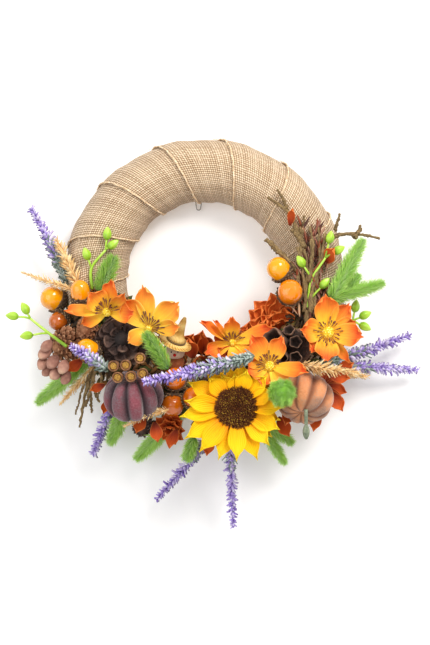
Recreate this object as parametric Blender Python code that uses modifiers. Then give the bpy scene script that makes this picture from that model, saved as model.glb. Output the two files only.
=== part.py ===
"""Harvest door wreath.

A flat-backed foam ring is wrapped in one long burlap ribbon. A wire loop, stapled to the back,
hangs it on a nail. Silk flowers, faux pumpkins, acorns, cones, lavender and grasses are hot-glued
over the lower half, one on top of another, from the ring outwards.

Metres, +Z up, front towards -Y, door side towards +Y. The origin is the point of the hanging
loop that bears on the nail. Angles run anticlockwise from +X, seen from the front.
"""

import math

import bmesh
import bpy
import numpy as np
from mathutils import Matrix, Vector
from mathutils.bvhtree import BVHTree

MM = 0.001

# Foam ring
RING_OUTER_DIAMETER = 296 * MM
RING_INNER_DIAMETER = 171 * MM
RING_DEPTH = 42 * MM
RING_BACK_CORNER = 9 * MM
BACK_EDGE_SPREAD = 0.4
RING_SEGMENTS = 72
FRONT_ARC_POINTS = 9

# Burlap ribbon, wound round and round the section
RIBBON_TURNS = 13
RIBBON_WIDTH = 76 * MM
RIBBON_THICKNESS = 1.2 * MM
RIBBON_START_ANGLE = 281.5
RIBBON_EDGE_SLOPE = 0.10
RIBBON_EDGE_CLEARANCE = 0.02
RIBBON_LANES = 7
RIBBON_END_GAP = 0.004
RIBBON_CLOSING_RISE = 0.06
WRAP_GAP = 0.5 * MM
LAYER_GAP = 0.4 * MM

# Hanging loop and the staple that holds its bar
LOOP_WIRE = 1.2 * MM
LOOP_HEIGHT = 26 * MM
LOOP_BAR = 11 * MM
LOOP_TIP_RADIUS = 2.2 * MM
LOOP_DROP_BELOW_WRAP = 7.5 * MM
LOOP_OFF_CENTRE = 6.5 * MM
STAPLE_WIRE = 1.0 * MM
STAPLE_SPAN = 6 * MM
STAPLE_LEG = 14 * MM
STAPLE_CLEARANCE = 0.3 * MM

# Glued decorations
GLUE_GAP = 0.4 * MM
START_IN_FRONT = 400 * MM
FREE_DEPTH = 11 * MM
NUDGE = 4 * MM
NUDGE_DIRECTIONS = 8

SECTION_WIDTH = (RING_OUTER_DIAMETER - RING_INNER_DIAMETER) / 2
MEAN_RADIUS = (RING_OUTER_DIAMETER + RING_INNER_DIAMETER) / 4
LAYER_LIFT = RIBBON_THICKNESS + LAYER_GAP
WRAP_BACK = -(LOOP_WIRE / 2 + LAYER_GAP)
FOAM_BACK = WRAP_BACK - LAYER_LIFT - RIBBON_THICKNESS - WRAP_GAP
WRAP_INNER_RADIUS = RING_INNER_DIAMETER / 2 - WRAP_GAP - RIBBON_THICKNESS - LAYER_LIFT
RING_CENTRE = Vector((LOOP_OFF_CENTRE, 0, LOOP_DROP_BELOW_WRAP - WRAP_INNER_RADIUS - LOOP_WIRE))
BAR_HEIGHT = LOOP_HEIGHT - LOOP_WIRE / 2

for old in list(bpy.data.objects):
    bpy.data.objects.remove(old, do_unlink=True)

wreath = bpy.data.collections.new("harvest_door_wreath")
cutters = bpy.data.collections.new("cutters")
bpy.context.scene.collection.children.link(wreath)
bpy.context.scene.collection.children.link(cutters)

ring_centre = bpy.data.objects.new("ring_centre", None)
ring_centre.location = RING_CENTRE
wreath.objects.link(ring_centre)

loop_pivot = bpy.data.objects.new("loop_pivot", None)
loop_pivot.location = (0, 0, BAR_HEIGHT)
wreath.objects.link(loop_pivot)


def material(name, colour, roughness, metallic=0.0):
    """A Principled material."""
    made = bpy.data.materials.new(name)
    made.use_nodes = True
    shader = made.node_tree.nodes["Principled BSDF"]
    shader.inputs["Base Color"].default_value = (*colour, 1)
    shader.inputs["Roughness"].default_value = roughness
    shader.inputs["Metallic"].default_value = metallic
    return made


FOAM = material("foam", (0.80, 0.80, 0.76), 0.9)
BURLAP = material("burlap", (0.60, 0.43, 0.24), 0.95)
STEEL = material("steel_wire", (0.45, 0.44, 0.43), 0.35, 1.0)
SUN_PETAL = material("sunflower_yellow", (1.0, 0.56, 0.01), 0.7)
SUN_SEEDS = material("sunflower_seeds", (0.06, 0.02, 0.01), 0.9)
SILK = material("orange_silk", (0.86, 0.23, 0.03), 0.7)
STAMENS = material("yellow_stamens", (0.95, 0.62, 0.03), 0.7)
PLUM = material("plum_flock", (0.33, 0.12, 0.16), 0.95)
PEACH = material("peach_flock", (0.80, 0.40, 0.21), 0.95)
SAGE = material("sage_plastic", (0.25, 0.30, 0.22), 0.7)
DARK_WOOD = material("dark_cone", (0.035, 0.02, 0.018), 0.8)
BROWN_WOOD = material("brown_cone", (0.22, 0.10, 0.05), 0.8)
GOLD_CUP = material("seed_cup", (0.30, 0.15, 0.05), 0.8)
ACORN = material("acorn_lacquer", (0.95, 0.33, 0.01), 0.15)
LAVENDER = material("lavender", (0.25, 0.15, 0.50), 0.8)
PLUSH = material("green_plush", (0.18, 0.45, 0.05), 0.95)
STRAW = material("straw", (0.80, 0.52, 0.22), 0.9)
BUD = material("lime_bud", (0.30, 0.52, 0.04), 0.5)
BARK = material("bark", (0.16, 0.11, 0.04), 0.9)
RUST = material("rust_silk", (0.40, 0.06, 0.01), 0.8)
CLOTH = material("doll_cloth", (0.65, 0.50, 0.38), 0.9)


def add(name, data, look, parent=ring_centre):
    """Makes data an object of the wreath."""
    made = bpy.data.objects.new(name, data)
    made.parent = parent
    if look is not None:
        data.materials.append(look)
    wreath.objects.link(made)
    return made


def section_points(offset):
    """(across, depth) of the ring's section, grown outwards by offset: a flat back with rounded
    corners and a half-ellipse front. across runs from the hole outwards, depth towards the front."""
    half = SECTION_WIDTH / 2
    corner = RING_BACK_CORNER
    front = RING_DEPTH - corner
    diagonal = corner * (1 - math.cos(math.radians(45)))
    points = [(half - corner, 0), (half - diagonal, diagonal)]
    normals = [(BACK_EDGE_SPREAD, -1), (1, -1)]
    for step in range(FRONT_ARC_POINTS):
        turn = math.pi * step / (FRONT_ARC_POINTS - 1)
        points.append((half * math.cos(turn), corner + front * math.sin(turn)))
        normals.append((math.cos(turn) / half, math.sin(turn) / front))
    points += [(-half + diagonal, diagonal), (-half + corner, 0)]
    normals += [(-1, -1), (-BACK_EDGE_SPREAD, -1)]
    grown = []
    for (across, depth), normal in zip(points, normals):
        length = math.hypot(*normal)
        side = normal[0] / length
        ahead = normal[1] / length
        if depth == 0:
            side, ahead = normal
        grown.append((across + offset * side, depth + offset * ahead))
    return grown


def foam_ring():
    """The section turned about the ring's axis."""
    profile = bmesh.new()
    corners = [
        profile.verts.new((MEAN_RADIUS + across, FOAM_BACK - depth, 0))
        for across, depth in section_points(0)
    ]
    for first, second in zip(corners, corners[1:] + corners[:1]):
        profile.edges.new((first, second))
    mesh = bpy.data.meshes.new("foam_ring")
    profile.to_mesh(mesh)
    profile.free()
    ring = add("foam_ring", mesh, FOAM)
    turned = ring.modifiers.new("turn", "SCREW")
    turned.axis = "Y"
    turned.angle = math.tau
    turned.steps = RING_SEGMENTS
    turned.render_steps = RING_SEGMENTS
    turned.use_merge_vertices = True
    turned.merge_threshold = 0.01 * MM
    turned.use_normal_calculate = True
    return ring


def ribbon_level(turn, lane):
    """How many layers lie under the ribbon here: its trailing edge lies on the turn before, and
    the last turn's leading edge also lies over the first turn."""
    pitch = math.tau / RIBBON_TURNS * MEAN_RADIUS
    overlap = 1 - pitch / RIBBON_WIDTH
    slope = RIBBON_EDGE_SLOPE
    fall = np.clip((overlap + slope - lane) / slope, 0, 1)
    rise = np.clip((lane - (1 - overlap - slope - RIBBON_EDGE_CLEARANCE)) / slope, 0, 1)
    closing_start = RIBBON_TURNS - 1 - RIBBON_CLOSING_RISE
    closing = np.clip((turn - closing_start) / RIBBON_CLOSING_RISE, 0, 1)
    return fall + 2 * rise * closing


def burlap_wrap():
    """One ribbon wound clockwise round the ring as a helix that closes on itself: a grid of turns
    along the ribbon by lanes across it, given its thickness outwards."""
    inner = np.array(section_points(WRAP_GAP))
    outer = np.array(section_points(WRAP_GAP + 1 * MM))
    per_turn = len(inner)
    closing_turn = RIBBON_TURNS - RIBBON_END_GAP
    steps = math.ceil(closing_turn * per_turn)
    turn, lane = np.meshgrid(
        np.minimum(np.arange(steps + 1) / per_turn, closing_turn),
        np.linspace(0, 1, RIBBON_LANES),
        indexing="ij",
    )
    corner = np.floor(turn * per_turn).astype(int)
    part = (turn * per_turn - corner)[..., None]
    lift = (ribbon_level(turn, lane) * LAYER_LIFT / MM)[..., None]
    here, following = (
        inner[index % per_turn] * (1 - lift) + outer[index % per_turn] * lift
        for index in (corner, corner + 1)
    )
    across, depth = np.moveaxis(here * (1 - part) + following * part, -1, 0)
    wound = math.tau * turn / RIBBON_TURNS + lane * RIBBON_WIDTH / MEAN_RADIUS
    angle = math.radians(RIBBON_START_ANGLE) - wound
    radius = MEAN_RADIUS + across
    points = np.stack([radius * np.cos(angle), FOAM_BACK - depth, radius * np.sin(angle)], axis=-1)
    index = np.arange(points.shape[0] * points.shape[1]).reshape(points.shape[:2])
    faces = np.stack([index[:-1, :-1], index[1:, :-1], index[1:, 1:], index[:-1, 1:]], axis=-1)
    mesh = bpy.data.meshes.new("burlap_wrap")
    mesh.from_pydata(points.reshape(-1, 3).tolist(), [], faces.reshape(-1, 4).tolist())
    wrap = add("burlap_wrap", mesh, BURLAP)
    thick = wrap.modifiers.new("cloth", "SOLIDIFY")
    thick.thickness = RIBBON_THICKNESS
    thick.offset = 1
    return wrap


def wire(name, points, diameter, look, parent, cyclic=False):
    """Round wire through the points."""
    curve = bpy.data.curves.new(name, "CURVE")
    curve.dimensions = "3D"
    curve.bevel_depth = diameter / 2
    curve.bevel_resolution = 2
    curve.use_fill_caps = not cyclic
    spline = curve.splines.new("POLY")
    spline.points.add(len(points) - 1)
    for point, place in zip(spline.points, points):
        point.co = (*place, 1)
    spline.use_cyclic_u = cyclic
    return add(name, curve, look, parent)


def hanger_loop():
    """A long triangle of wire: a straight bar at the pivot, sloping sides and a round tip, where
    the nail bears."""
    tip_centre = -LOOP_HEIGHT + LOOP_TIP_RADIUS
    half_bar = LOOP_BAR / 2
    lean = math.asin((half_bar - LOOP_TIP_RADIUS) / LOOP_HEIGHT)
    points = [(-half_bar + LOOP_WIRE, 0, 0), (half_bar - LOOP_WIRE, 0, 0), (half_bar, 0, -LOOP_WIRE)]
    arc_steps = 7
    for step in range(arc_steps + 1):
        turn = -lean + (-math.pi + 2 * lean) * step / arc_steps
        points.append(
            (LOOP_TIP_RADIUS * math.cos(turn), 0, tip_centre + LOOP_TIP_RADIUS * math.sin(turn))
        )
    points.append((-half_bar, 0, -LOOP_WIRE))
    return wire("hanger_loop", points, LOOP_WIRE, STEEL, loop_pivot, cyclic=True)


def staple_crown_depth():
    """How far behind the loop's bar the middle of the staple's crown lies."""
    return LOOP_WIRE / 2 + STAPLE_CLEARANCE + STAPLE_WIRE / 2


def hanger_staple():
    """A staple whose crown crosses behind the bar and whose legs run into the foam."""
    behind = staple_crown_depth()
    half = STAPLE_SPAN / 2
    bend = STAPLE_WIRE
    points = [
        (0, behind - STAPLE_LEG, half),
        (0, behind - bend, half),
        (0, behind, half - bend),
        (0, behind, -half + bend),
        (0, behind - bend, -half),
        (0, behind - STAPLE_LEG, -half),
    ]
    return wire("hanger_staple", points, STAPLE_WIRE, STEEL, loop_pivot)


def cut_staple_holes(targets):
    """Clearance holes for the two legs, from behind the wrap to past the legs' ends."""
    radius = STAPLE_WIRE / 2 + STAPLE_CLEARANCE
    front = staple_crown_depth() - STAPLE_LEG - 1 * MM
    length = -front
    for side in (1, -1):
        shape = bmesh.new()
        bmesh.ops.create_cone(
            shape, cap_ends=True, segments=10, radius1=radius, radius2=radius, depth=length,
            matrix=Matrix.Rotation(math.pi / 2, 4, "X"),
        )
        mesh = bpy.data.meshes.new("staple_hole")
        shape.to_mesh(mesh)
        shape.free()
        cutter = bpy.data.objects.new("staple_hole", mesh)
        cutter.parent = loop_pivot
        cutter.location = (0, front / 2, side * STAPLE_SPAN / 2)
        cutter.hide_render = True
        cutter.display_type = "WIRE"
        cutters.objects.link(cutter)
        for target in targets:
            cut = target.modifiers.new("staple_hole", "BOOLEAN")
            cut.operation = "DIFFERENCE"
            cut.solver = "EXACT"
            cut.object = cutter


def on_ring(angle, out):
    """A place in the ring's plane: an angle, and a distance outwards from the section's middle."""
    radius = MEAN_RADIUS + out * MM
    turn = math.radians(angle)
    return Vector((radius * math.cos(turn), 0, radius * math.sin(turn)))


def sprig_frame(angle, out, heading, back=0.0):
    """Local +X along a sprig, which heads this way in the ring's plane and leans back towards
    the door by back degrees; local +Z faces the front."""
    lean = math.radians(back)
    turn = math.radians(heading)
    flat = Vector((math.cos(turn), 0, math.sin(turn)))
    along = flat * math.cos(lean) + Vector((0, 1, 0)) * math.sin(lean)
    front = Vector((0, -1, 0)) * math.cos(lean) + flat * math.sin(lean)
    side = front.cross(along)
    frame = Matrix((along, side, front)).transposed().to_4x4()
    return Matrix.Translation(on_ring(angle, out)) @ frame


def facing_frame(angle, out, towards=90.0, lean=0.0, spin=0.0):
    """Local +Z faces the front, leant by lean degrees towards a direction in the ring's plane."""
    turn = math.radians(towards)
    flat = Vector((math.cos(turn), 0, math.sin(turn)))
    axis = Vector((0, -1, 0)) * math.cos(math.radians(lean)) + flat * math.sin(math.radians(lean))
    side = Vector((1, 0, 0)) - axis * axis.x
    side.normalize()
    frame = Matrix((side, axis.cross(side), axis)).transposed().to_4x4()
    return Matrix.Translation(on_ring(angle, out)) @ frame @ Matrix.Rotation(math.radians(spin), 4, "Z")


def world_mesh(piece):
    """(points, polygons) of a piece as it stands, in the world."""
    bpy.context.view_layer.update()
    evaluated = piece.evaluated_get(bpy.context.evaluated_depsgraph_get())
    mesh = evaluated.to_mesh()
    points = [evaluated.matrix_world @ vertex.co for vertex in mesh.vertices]
    polygons = [tuple(polygon.vertices) for polygon in mesh.polygons]
    evaluated.to_mesh_clear()
    return points, polygons


placed = []
TOWARD_DOOR = Vector((0, 1, 0))


def clear_drop(points, polygons, near):
    """How far a piece can be lowered towards the door before it meets its neighbours."""
    low = [min(point[i] for point in points) for i in range(3)]
    high = [max(point[i] for point in points) for i in range(3)]
    drop = START_IN_FRONT - FREE_DEPTH - (high[1] - low[1]) / 2
    tree = BVHTree.FromPolygons(points, polygons)
    for other_points, other_tree in near:
        for point in points:
            hit = other_tree.ray_cast(point, TOWARD_DOOR)
            if hit[0] is not None:
                drop = min(drop, hit[3])
        for point in other_points:
            if low[0] <= point.x <= high[0] and low[2] <= point.z <= high[2]:
                hit = tree.ray_cast(point, -TOWARD_DOOR)
                if hit[0] is not None:
                    drop = min(drop, hit[3])
    drop -= GLUE_GAP
    while True:
        moved = [point + TOWARD_DOOR * (drop + GLUE_GAP / 2) for point in points]
        lowered = BVHTree.FromPolygons(moved, polygons)
        if not any(lowered.overlap(other) for _, other in near):
            return drop
        drop -= GLUE_GAP / 2


def settle(piece, frame):
    """Lowers a piece from in front, straight towards the door, until it lies a glue gap clear of
    what is there already, or comes level with the ring where nothing is behind it. It may slide a
    little sideways where that lets it nestle deeper."""
    piece.matrix_local = Matrix.Translation((0, -START_IN_FRONT, 0)) @ frame
    points, polygons = world_mesh(piece)
    low = Vector(min(point[i] for point in points) for i in range(3))
    high = Vector(max(point[i] for point in points) for i in range(3))
    near = []
    for other_low, other_high, other_points, other_tree in placed:
        apart = other_low.x > high.x + NUDGE or other_high.x < low.x - NUDGE
        if not (apart or other_low.z > high.z + NUDGE or other_high.z < low.z - NUDGE):
            near.append((other_points, other_tree))
    best = None
    for reach in (0, NUDGE / 2, NUDGE):
        for step in range(NUDGE_DIRECTIONS if reach else 1):
            turn = math.tau * step / NUDGE_DIRECTIONS
            slide = Vector((reach * math.cos(turn), 0, reach * math.sin(turn)))
            drop = clear_drop([point + slide for point in points], polygons, near)
            worth = drop - reach
            if best is None or worth > best[0]:
                best = (worth, slide + TOWARD_DOOR * drop)
    shift = best[1]
    piece.matrix_local = Matrix.Translation(shift - TOWARD_DOOR * START_IN_FRONT) @ frame
    moved = [point + shift for point in points]
    placed.append((low + shift, high + shift, moved, BVHTree.FromPolygons(moved, polygons)))
    return piece


def fixed(piece):
    """Counts a piece that stays where it was modelled among those already there."""
    points, polygons = world_mesh(piece)
    low = Vector(min(point[i] for point in points) for i in range(3))
    high = Vector(max(point[i] for point in points) for i in range(3))
    placed.append((low, high, points, BVHTree.FromPolygons(points, polygons)))


def tube_mesh(name, chain):
    """A round stalk through (x, y, z, radius) points in millimetres, closed at its ends."""
    curve = bpy.data.curves.new(name, "CURVE")
    curve.dimensions = "3D"
    curve.bevel_depth = MM
    curve.bevel_resolution = 1
    curve.use_fill_caps = True
    spline = curve.splines.new("POLY")
    spline.points.add(len(chain) - 1)
    for point, (x, y, z, radius) in zip(spline.points, chain):
        point.co = (x * MM, y * MM, z * MM, 1)
        point.radius = radius
    stalk = bpy.data.objects.new(name, curve)
    wreath.objects.link(stalk)
    graph = bpy.context.evaluated_depsgraph_get()
    mesh = bpy.data.meshes.new_from_object(stalk.evaluated_get(graph))
    bpy.data.objects.remove(stalk, do_unlink=True)
    bpy.data.curves.remove(curve)
    shape = bmesh.new()
    shape.from_mesh(mesh)
    bmesh.ops.remove_doubles(shape, verts=shape.verts, dist=0.001 * MM)
    bmesh.ops.recalc_face_normals(shape, faces=shape.faces)
    shape.to_mesh(mesh)
    shape.free()
    return mesh


def limb(name, look, chains, frame):
    """A stalk and its branches, each a chain that starts inside what it grows from, as one body."""
    piece = add(name, tube_mesh(name, chains[0]), look)
    for number, chain in enumerate(chains[1:]):
        branch = bpy.data.objects.new(f"{name}_branch_{number}", tube_mesh(name, chain))
        branch.parent = piece
        branch.hide_render = True
        branch.display_type = "WIRE"
        cutters.objects.link(branch)
        joined = piece.modifiers.new("branch", "BOOLEAN")
        joined.operation = "UNION"
        joined.solver = "EXACT"
        joined.object = branch
    return settle(piece, frame)


SPIKE_SHAPE = [(0, 0.25), (0.12, 0.35), (0.2, 0.8), (0.4, 1), (0.65, 0.95), (0.88, 0.55), (1, 0.12)]


def spike_chain(length, width, bend=0.0, stem=0.0, heading=0.0, lift=0.0):
    """A bare stem, then a soft spike that swells and tapers to its tip, bent sideways by bend."""
    turn = math.radians(heading)
    points = [(0, 0, 0, width * 0.12)] if stem else []
    for share, fullness in SPIKE_SHAPE:
        x = stem + length * share
        y = bend * share**2
        points.append(
            (
                x * math.cos(turn) - y * math.sin(turn),
                x * math.sin(turn) + y * math.cos(turn),
                lift,
                width / 2 * fullness,
            )
        )
    return points


def spike(name, look, frame, length, width, bend=0.0, stem=0.0):
    """One lavender spike, plush tail or grass frond."""
    return limb(name, look, [spike_chain(length, width, bend, stem)], frame)


def spike_pair(name, look, frame, stem, spikes):
    """Spikes that spread from the end of one glued stem: each is (heading, length, width, bend)."""
    chains = [[(-stem - 4, 0, 0, 1.8), (-1, 0, 0, 2.6), (5, 0, 0, 2.2)]]
    for lift, (heading, length, width, bend) in zip((0.8, -0.8), spikes):
        chains.append(spike_chain(length, width, bend, 0, heading, lift))
    return limb(name, look, chains, frame)


def buds(start, end, radius=4.0):
    """A twiglet from start to a pointed bud that ends at end, both (x, y, z) in millimetres."""
    start = Vector(start)
    end = Vector(end)
    along = (end - start).normalized()
    neck = end - along * radius * 2.4
    widest = end - along * radius * 1.3
    return [(*start, 1.3), (*neck, 1.1), (*widest, radius), (*end, 0.8)]


def turned(name, look, frame, profile, segments=12):
    """A profile of (radius, height) in millimetres, from the front of its axis round to the back,
    turned about local Z."""
    shape = bmesh.new()
    corners = [shape.verts.new((radius * MM, 0, height * MM)) for radius, height in profile]
    for first, second in zip(corners, corners[1:]):
        shape.edges.new((first, second))
    mesh = bpy.data.meshes.new(name)
    shape.to_mesh(mesh)
    shape.free()
    piece = add(name, mesh, look)
    turn = piece.modifiers.new("turn", "SCREW")
    turn.axis = "Z"
    turn.angle = math.tau
    turn.steps = segments
    turn.render_steps = segments
    turn.use_merge_vertices = True
    turn.merge_threshold = 0.01 * MM
    return settle(piece, frame)


def acorn(name, frame, length, width):
    """A lacquered nut in its rough cap: the nut's tip is local +Z."""
    nut = width / 2
    cap = nut * 1.08
    profile = [
        (0, length * 0.5),
        (nut * 0.28, length * 0.46),
        (nut * 0.8, length * 0.26),
        (nut, length * 0.02),
        (nut * 0.96, -length * 0.16),
        (cap, -length * 0.2),
        (cap * 0.9, -length * 0.36),
        (cap * 0.45, -length * 0.48),
        (0, -length * 0.5),
    ]
    return turned(name, ACORN, frame, profile)


def cone(name, look, frame, width, height):
    """The outer shape of a cone: a dome of open scales on a narrow base."""
    half = width / 2
    profile = [
        (0, height * 0.42),
        (half * 0.45, height * 0.5),
        (half * 0.85, height * 0.3),
        (half, 0),
        (half * 0.7, -height * 0.32),
        (half * 0.25, -height * 0.5),
        (0, -height * 0.5),
    ]
    return turned(name, look, frame, profile)


def pumpkin(name, look, frame, width, height, ribs=8, groove=0.10):
    """A ribbed, flattened ball with a dimple at each pole; local Z is its core."""
    shape = bmesh.new()
    bmesh.ops.create_uvsphere(shape, u_segments=3 * ribs, v_segments=9, radius=1)
    for vertex in shape.verts:
        x, y, z = vertex.co
        flat = math.hypot(x, y)
        rib = 1 - groove * flat * (0.5 + 0.5 * math.cos(ribs * math.atan2(y, x)))
        dimple = 1 - 0.28 * (1 - flat) ** 2
        reach = width / 2 * MM * rib
        vertex.co = (x * reach, y * reach, z * height / 2 * MM * dimple)
    mesh = bpy.data.meshes.new(name)
    shape.to_mesh(mesh)
    shape.free()
    return settle(add(name, mesh, look), frame)


def rosette(name, look, frame, petals, tip, valley, thickness=3.0):
    """A flat flower: an outline that swings between the petals' tips and the notches between
    them, cut from one thickness."""
    per_petal = 4
    shares = [0, 0.72, 1, 0.72]
    curve = bpy.data.curves.new(name, "CURVE")
    curve.dimensions = "2D"
    curve.fill_mode = "BOTH"
    curve.extrude = thickness / 2 * MM
    spline = curve.splines.new("POLY")
    count = petals * per_petal
    spline.points.add(count - 1)
    for i, point in enumerate(spline.points):
        reach = (valley + (tip - valley) * shares[i % per_petal]) * MM
        turn = math.tau * i / count
        point.co = (reach * math.cos(turn), reach * math.sin(turn), 0, 1)
    spline.use_cyclic_u = True
    return settle(add(name, curve, look), frame)


def boss(name, look, frame, radius, height):
    """The domed middle of a flower."""
    profile = [
        (0, height / 2),
        (radius * 0.6, height * 0.4),
        (radius, -height * 0.05),
        (radius * 0.9, -height / 2),
        (0, -height / 2),
    ]
    return turned(name, look, frame, profile, 14)


def twigs():
    """Rough twigs glued to the wrap where the decoration starts."""
    limb(
        "twigs_right", BARK,
        [
            [(-4, 0, 0, 4), (22, -4, 2, 4.5), (46, -1, 3, 3), (85, -14, 0, 2.6), (103, -6, 0, 1.6)],
            [(82, -13, 0, 2), (96, -17, 0, 1.8), (110, -20, 0, 1.5)],
            [(20, -4, 2, 3.4), (40, 14, 2, 3.4), (62, 28, 2, 3)],
            [(40, -2, 3, 2.2), (66, -20, 1, 1.8), (82, -22, 0, 1.5)],
            [(14, -3, 2, 3), (34, -40, 2, 3.4), (40, -66, 0, 4), (42, -96, -2, 1.6)],
            [(34, -38, 2, 2.4), (52, -54, 2, 2), (66, -60, 2, 1.6)],
        ],
        sprig_frame(352, -12, 101, 3),
    )
    limb(
        "twigs_lower_left", BARK,
        [
            [(-27, 0, 0, 3), (-8, 0, 0, 3), (14, 0, 0, 3), (40, 1, -1, 2), (57, 2, -2, 1.4)],
            [(8, 0, 0, 2.4), (24, 7, -1, 2), (38, 11, -2, 1.5)],
            [(2, 0, 0, 2.4), (14, 9, 0, 2), (25, 16, -1, 1.5)],
        ],
        sprig_frame(220.4, 43, 256, 8),
    )


def lavender_and_grasses():
    """Sprigs that are glued to the wrap and fan outwards past its edge."""
    spike("lavender_top_left", LAVENDER, sprig_frame(184.4, 26, 113.8, 8), 97, 13, 5)
    spike_pair(
        "lavender_right", LAVENDER, sprig_frame(328, 46, 6, 12), 26,
        [(9, 94, 13, 4), (-8, 98, 13, -2)],
    )
    spike("lavender_lower_left", LAVENDER, sprig_frame(231.8, 22, 247.5, 12), 56, 13, 0, 25)
    spike_pair(
        "lavender_bottom", LAVENDER, sprig_frame(274, 40, 254, 12), 24,
        [(-18, 94, 13, -3), (18, 100, 13, 3)],
    )
    spike_pair(
        "fronds_upper_left", STRAW, sprig_frame(185, 21, 132, 8), 4,
        [(-16, 62, 13, 0), (29, 68, 9, 0)],
    )
    spike("frond_lower_left", STRAW, sprig_frame(217.3, 21, 229, 10), 42, 8, 0, 24)
    spike("frond_right", STRAW, sprig_frame(317.1, 20, 352, 10), 62, 13, 0, 12)
    spike("tail_upper_left", PLUSH, sprig_frame(188, -6, 68, 4), 39, 16)
    spike("tail_lower_left", PLUSH, sprig_frame(215, 21, 219.8, 10), 57, 13, 0, 21)
    spike("tail_bottom_left", PLUSH, sprig_frame(237.2, 21, 246.8, 12), 36, 11, 0, 29)
    spike("tail_bottom", PLUSH, sprig_frame(260.8, 22, 225.5, 12), 42, 11, 0, 31)
    spike_pair(
        "tails_bottom_right", PLUSH, sprig_frame(292, 54, 310, 12), 38,
        [(14, 36, 13, 0), (-14, 44, 9, 0)],
    )
    spike_pair(
        "tails_right", PLUSH, sprig_frame(352, 20, 39, 8), 2,
        [(22, 68, 14, 0), (-22, 56, 13, 0)],
    )


def bud_sprigs():
    """Lime stems with a pointed bud at the end of each fork."""
    limb(
        "buds_upper_left", BUD,
        [
            [(-4, 0, 0, 1.6), (14, 0, 0, 1.5), (33, -13, 2, 1.4), (36, -13, 2, 1.2)],
            buds((33, -13, 2), (55, -3, 4)),
            buds((33, -13, 2), (45, -28, 4)),
            buds((13, 0, 0), (33, 10, 4)),
        ],
        sprig_frame(183.5, 2, 87, 2),
    )
    limb(
        "buds_left", BUD,
        [
            [(-4, 0, 0, 1.6), (19, -5, 0, 1.5), (43, -11, 2, 1.4), (46, -11, 2, 1.2)],
            buds((43, -11, 2), (67, -4, 3)),
            buds((43, -11, 2), (57, -22, 3)),
            buds((18, -5, 0), (44, 10, 3)),
        ],
        sprig_frame(205.3, 46, 156, 6),
    )
    limb(
        "buds_right", BUD,
        [
            [(-4, 0, 0, 1.7), (26, -4, 2, 1.6), (48, -18, 4, 1.5), (51, -19, 4, 1.2)],
            buds((48, -18, 4), (75, -24, 6)),
            buds((48, -18, 4), (59, -37, 6)),
            buds((26, -4, 2), (49, 11, 6)),
            buds((2, 0, 0), (26, -21, 6)),
        ],
        sprig_frame(345.8, -5, 90, 2),
    )
    limb(
        "buds_far_right", BUD,
        [
            [(-6, 0, 0, 1.7), (16, 0, 0, 1.5), (28, 0, 0, 1.2), (32, 0, 0, 1.2)],
            buds((30, 0, 0), (38, 20, 3)),
            buds((29, 0, 0), (49, 4, 3)),
            buds((28, 0, 0), (44, -13, 3)),
        ],
        sprig_frame(338, 22, 15, 4),
    )


def seed_cups():
    """A bunch of small hollow-looking seed caps on short wires from one twist."""
    places = [(-14, -7), (-3, -8), (-11, 4), (3, 3), (14, 0), (12, -15)]
    chains = [[(-16, -2, 0, 2.2), (0, -2, 0, 3.1), (16, -3, 0, 2.2)]]
    for x, y in places:
        chains.append(
            [(x * 0.8, -2.2, 0.3, 1.6), (x, y, 3, 3.4), (x, y, 5, 5.3), (x, y, 11, 5.6)]
        )
    limb("seed_cups", GOLD_CUP, chains, facing_frame(230.1, 5, 220, 8))


def rust_silks():
    """Dark rust flowers and leaves, which fill in behind the larger pieces."""
    rosette("rust_flower_right", RUST, facing_frame(331, -37, 120, 12), 6, 21, 14, 8)
    rosette("rust_flower_bottom", RUST, facing_frame(257.3, 43, 260, 25, 20), 6, 15, 10, 6)
    rosette("rust_leaves_right", RUST, facing_frame(318.5, 52, 320, 30, 10), 4, 27, 10, 3)


def acorns():
    """Lacquered acorns, in three groups: left, middle and right."""
    acorn("acorn_left_upper", facing_frame(186.3, 43, 150, 60), 28, 24)
    acorn("acorn_left_inner", facing_frame(187, 13, 88, 60), 28, 20)
    acorn("acorn_left_lower", facing_frame(194.9, 43.5, 225, 55), 24, 19)
    acorn("acorn_middle_upper", facing_frame(253.7, -8, 90, 30), 25, 22)
    acorn("acorn_middle_lower", facing_frame(256.1, 20, 270, 50), 27, 21)
    acorn("acorn_middle_right", facing_frame(263.2, 8, 60, 40), 25, 20)
    acorn("acorn_right_upper", facing_frame(9, -36, 140, 60), 26, 21)
    acorn("acorn_right_lower", facing_frame(353.6, -27, 90, 20), 28, 24)


def cones_and_pumpkins():
    """The bulky pieces, which sit on the wrap between the sprigs."""
    cone("cone_long_brown", BROWN_WOOD, facing_frame(205.2, 41, 200, 40), 32, 40)
    cone("cone_dark_open", DARK_WOOD, facing_frame(216.5, -10, 30, 8), 50, 34)
    cone("cone_small_brown", BROWN_WOOD, facing_frame(203.4, 16, 200, 20), 22, 24)
    cone("cone_black", DARK_WOOD, facing_frame(247.4, 54, 250, 40), 27, 26)
    pumpkin("pumpkin_plum", PLUM, facing_frame(239, 26, 90, 62), 66, 55)
    pumpkin("pumpkin_peach", PEACH, facing_frame(309.7, 45, 262, 55, 10), 61, 52)
    spike("pumpkin_stalk", SAGE, sprig_frame(307.9, 52, 272, 24), 16, 6, 0, 13)
    cone("seed_pod", DARK_WOOD, facing_frame(321.4, 0, 160, 25), 47, 36)
    acorn("acorn_left_front", facing_frame(212.6, 22, 150, 40), 26, 21)


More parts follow.
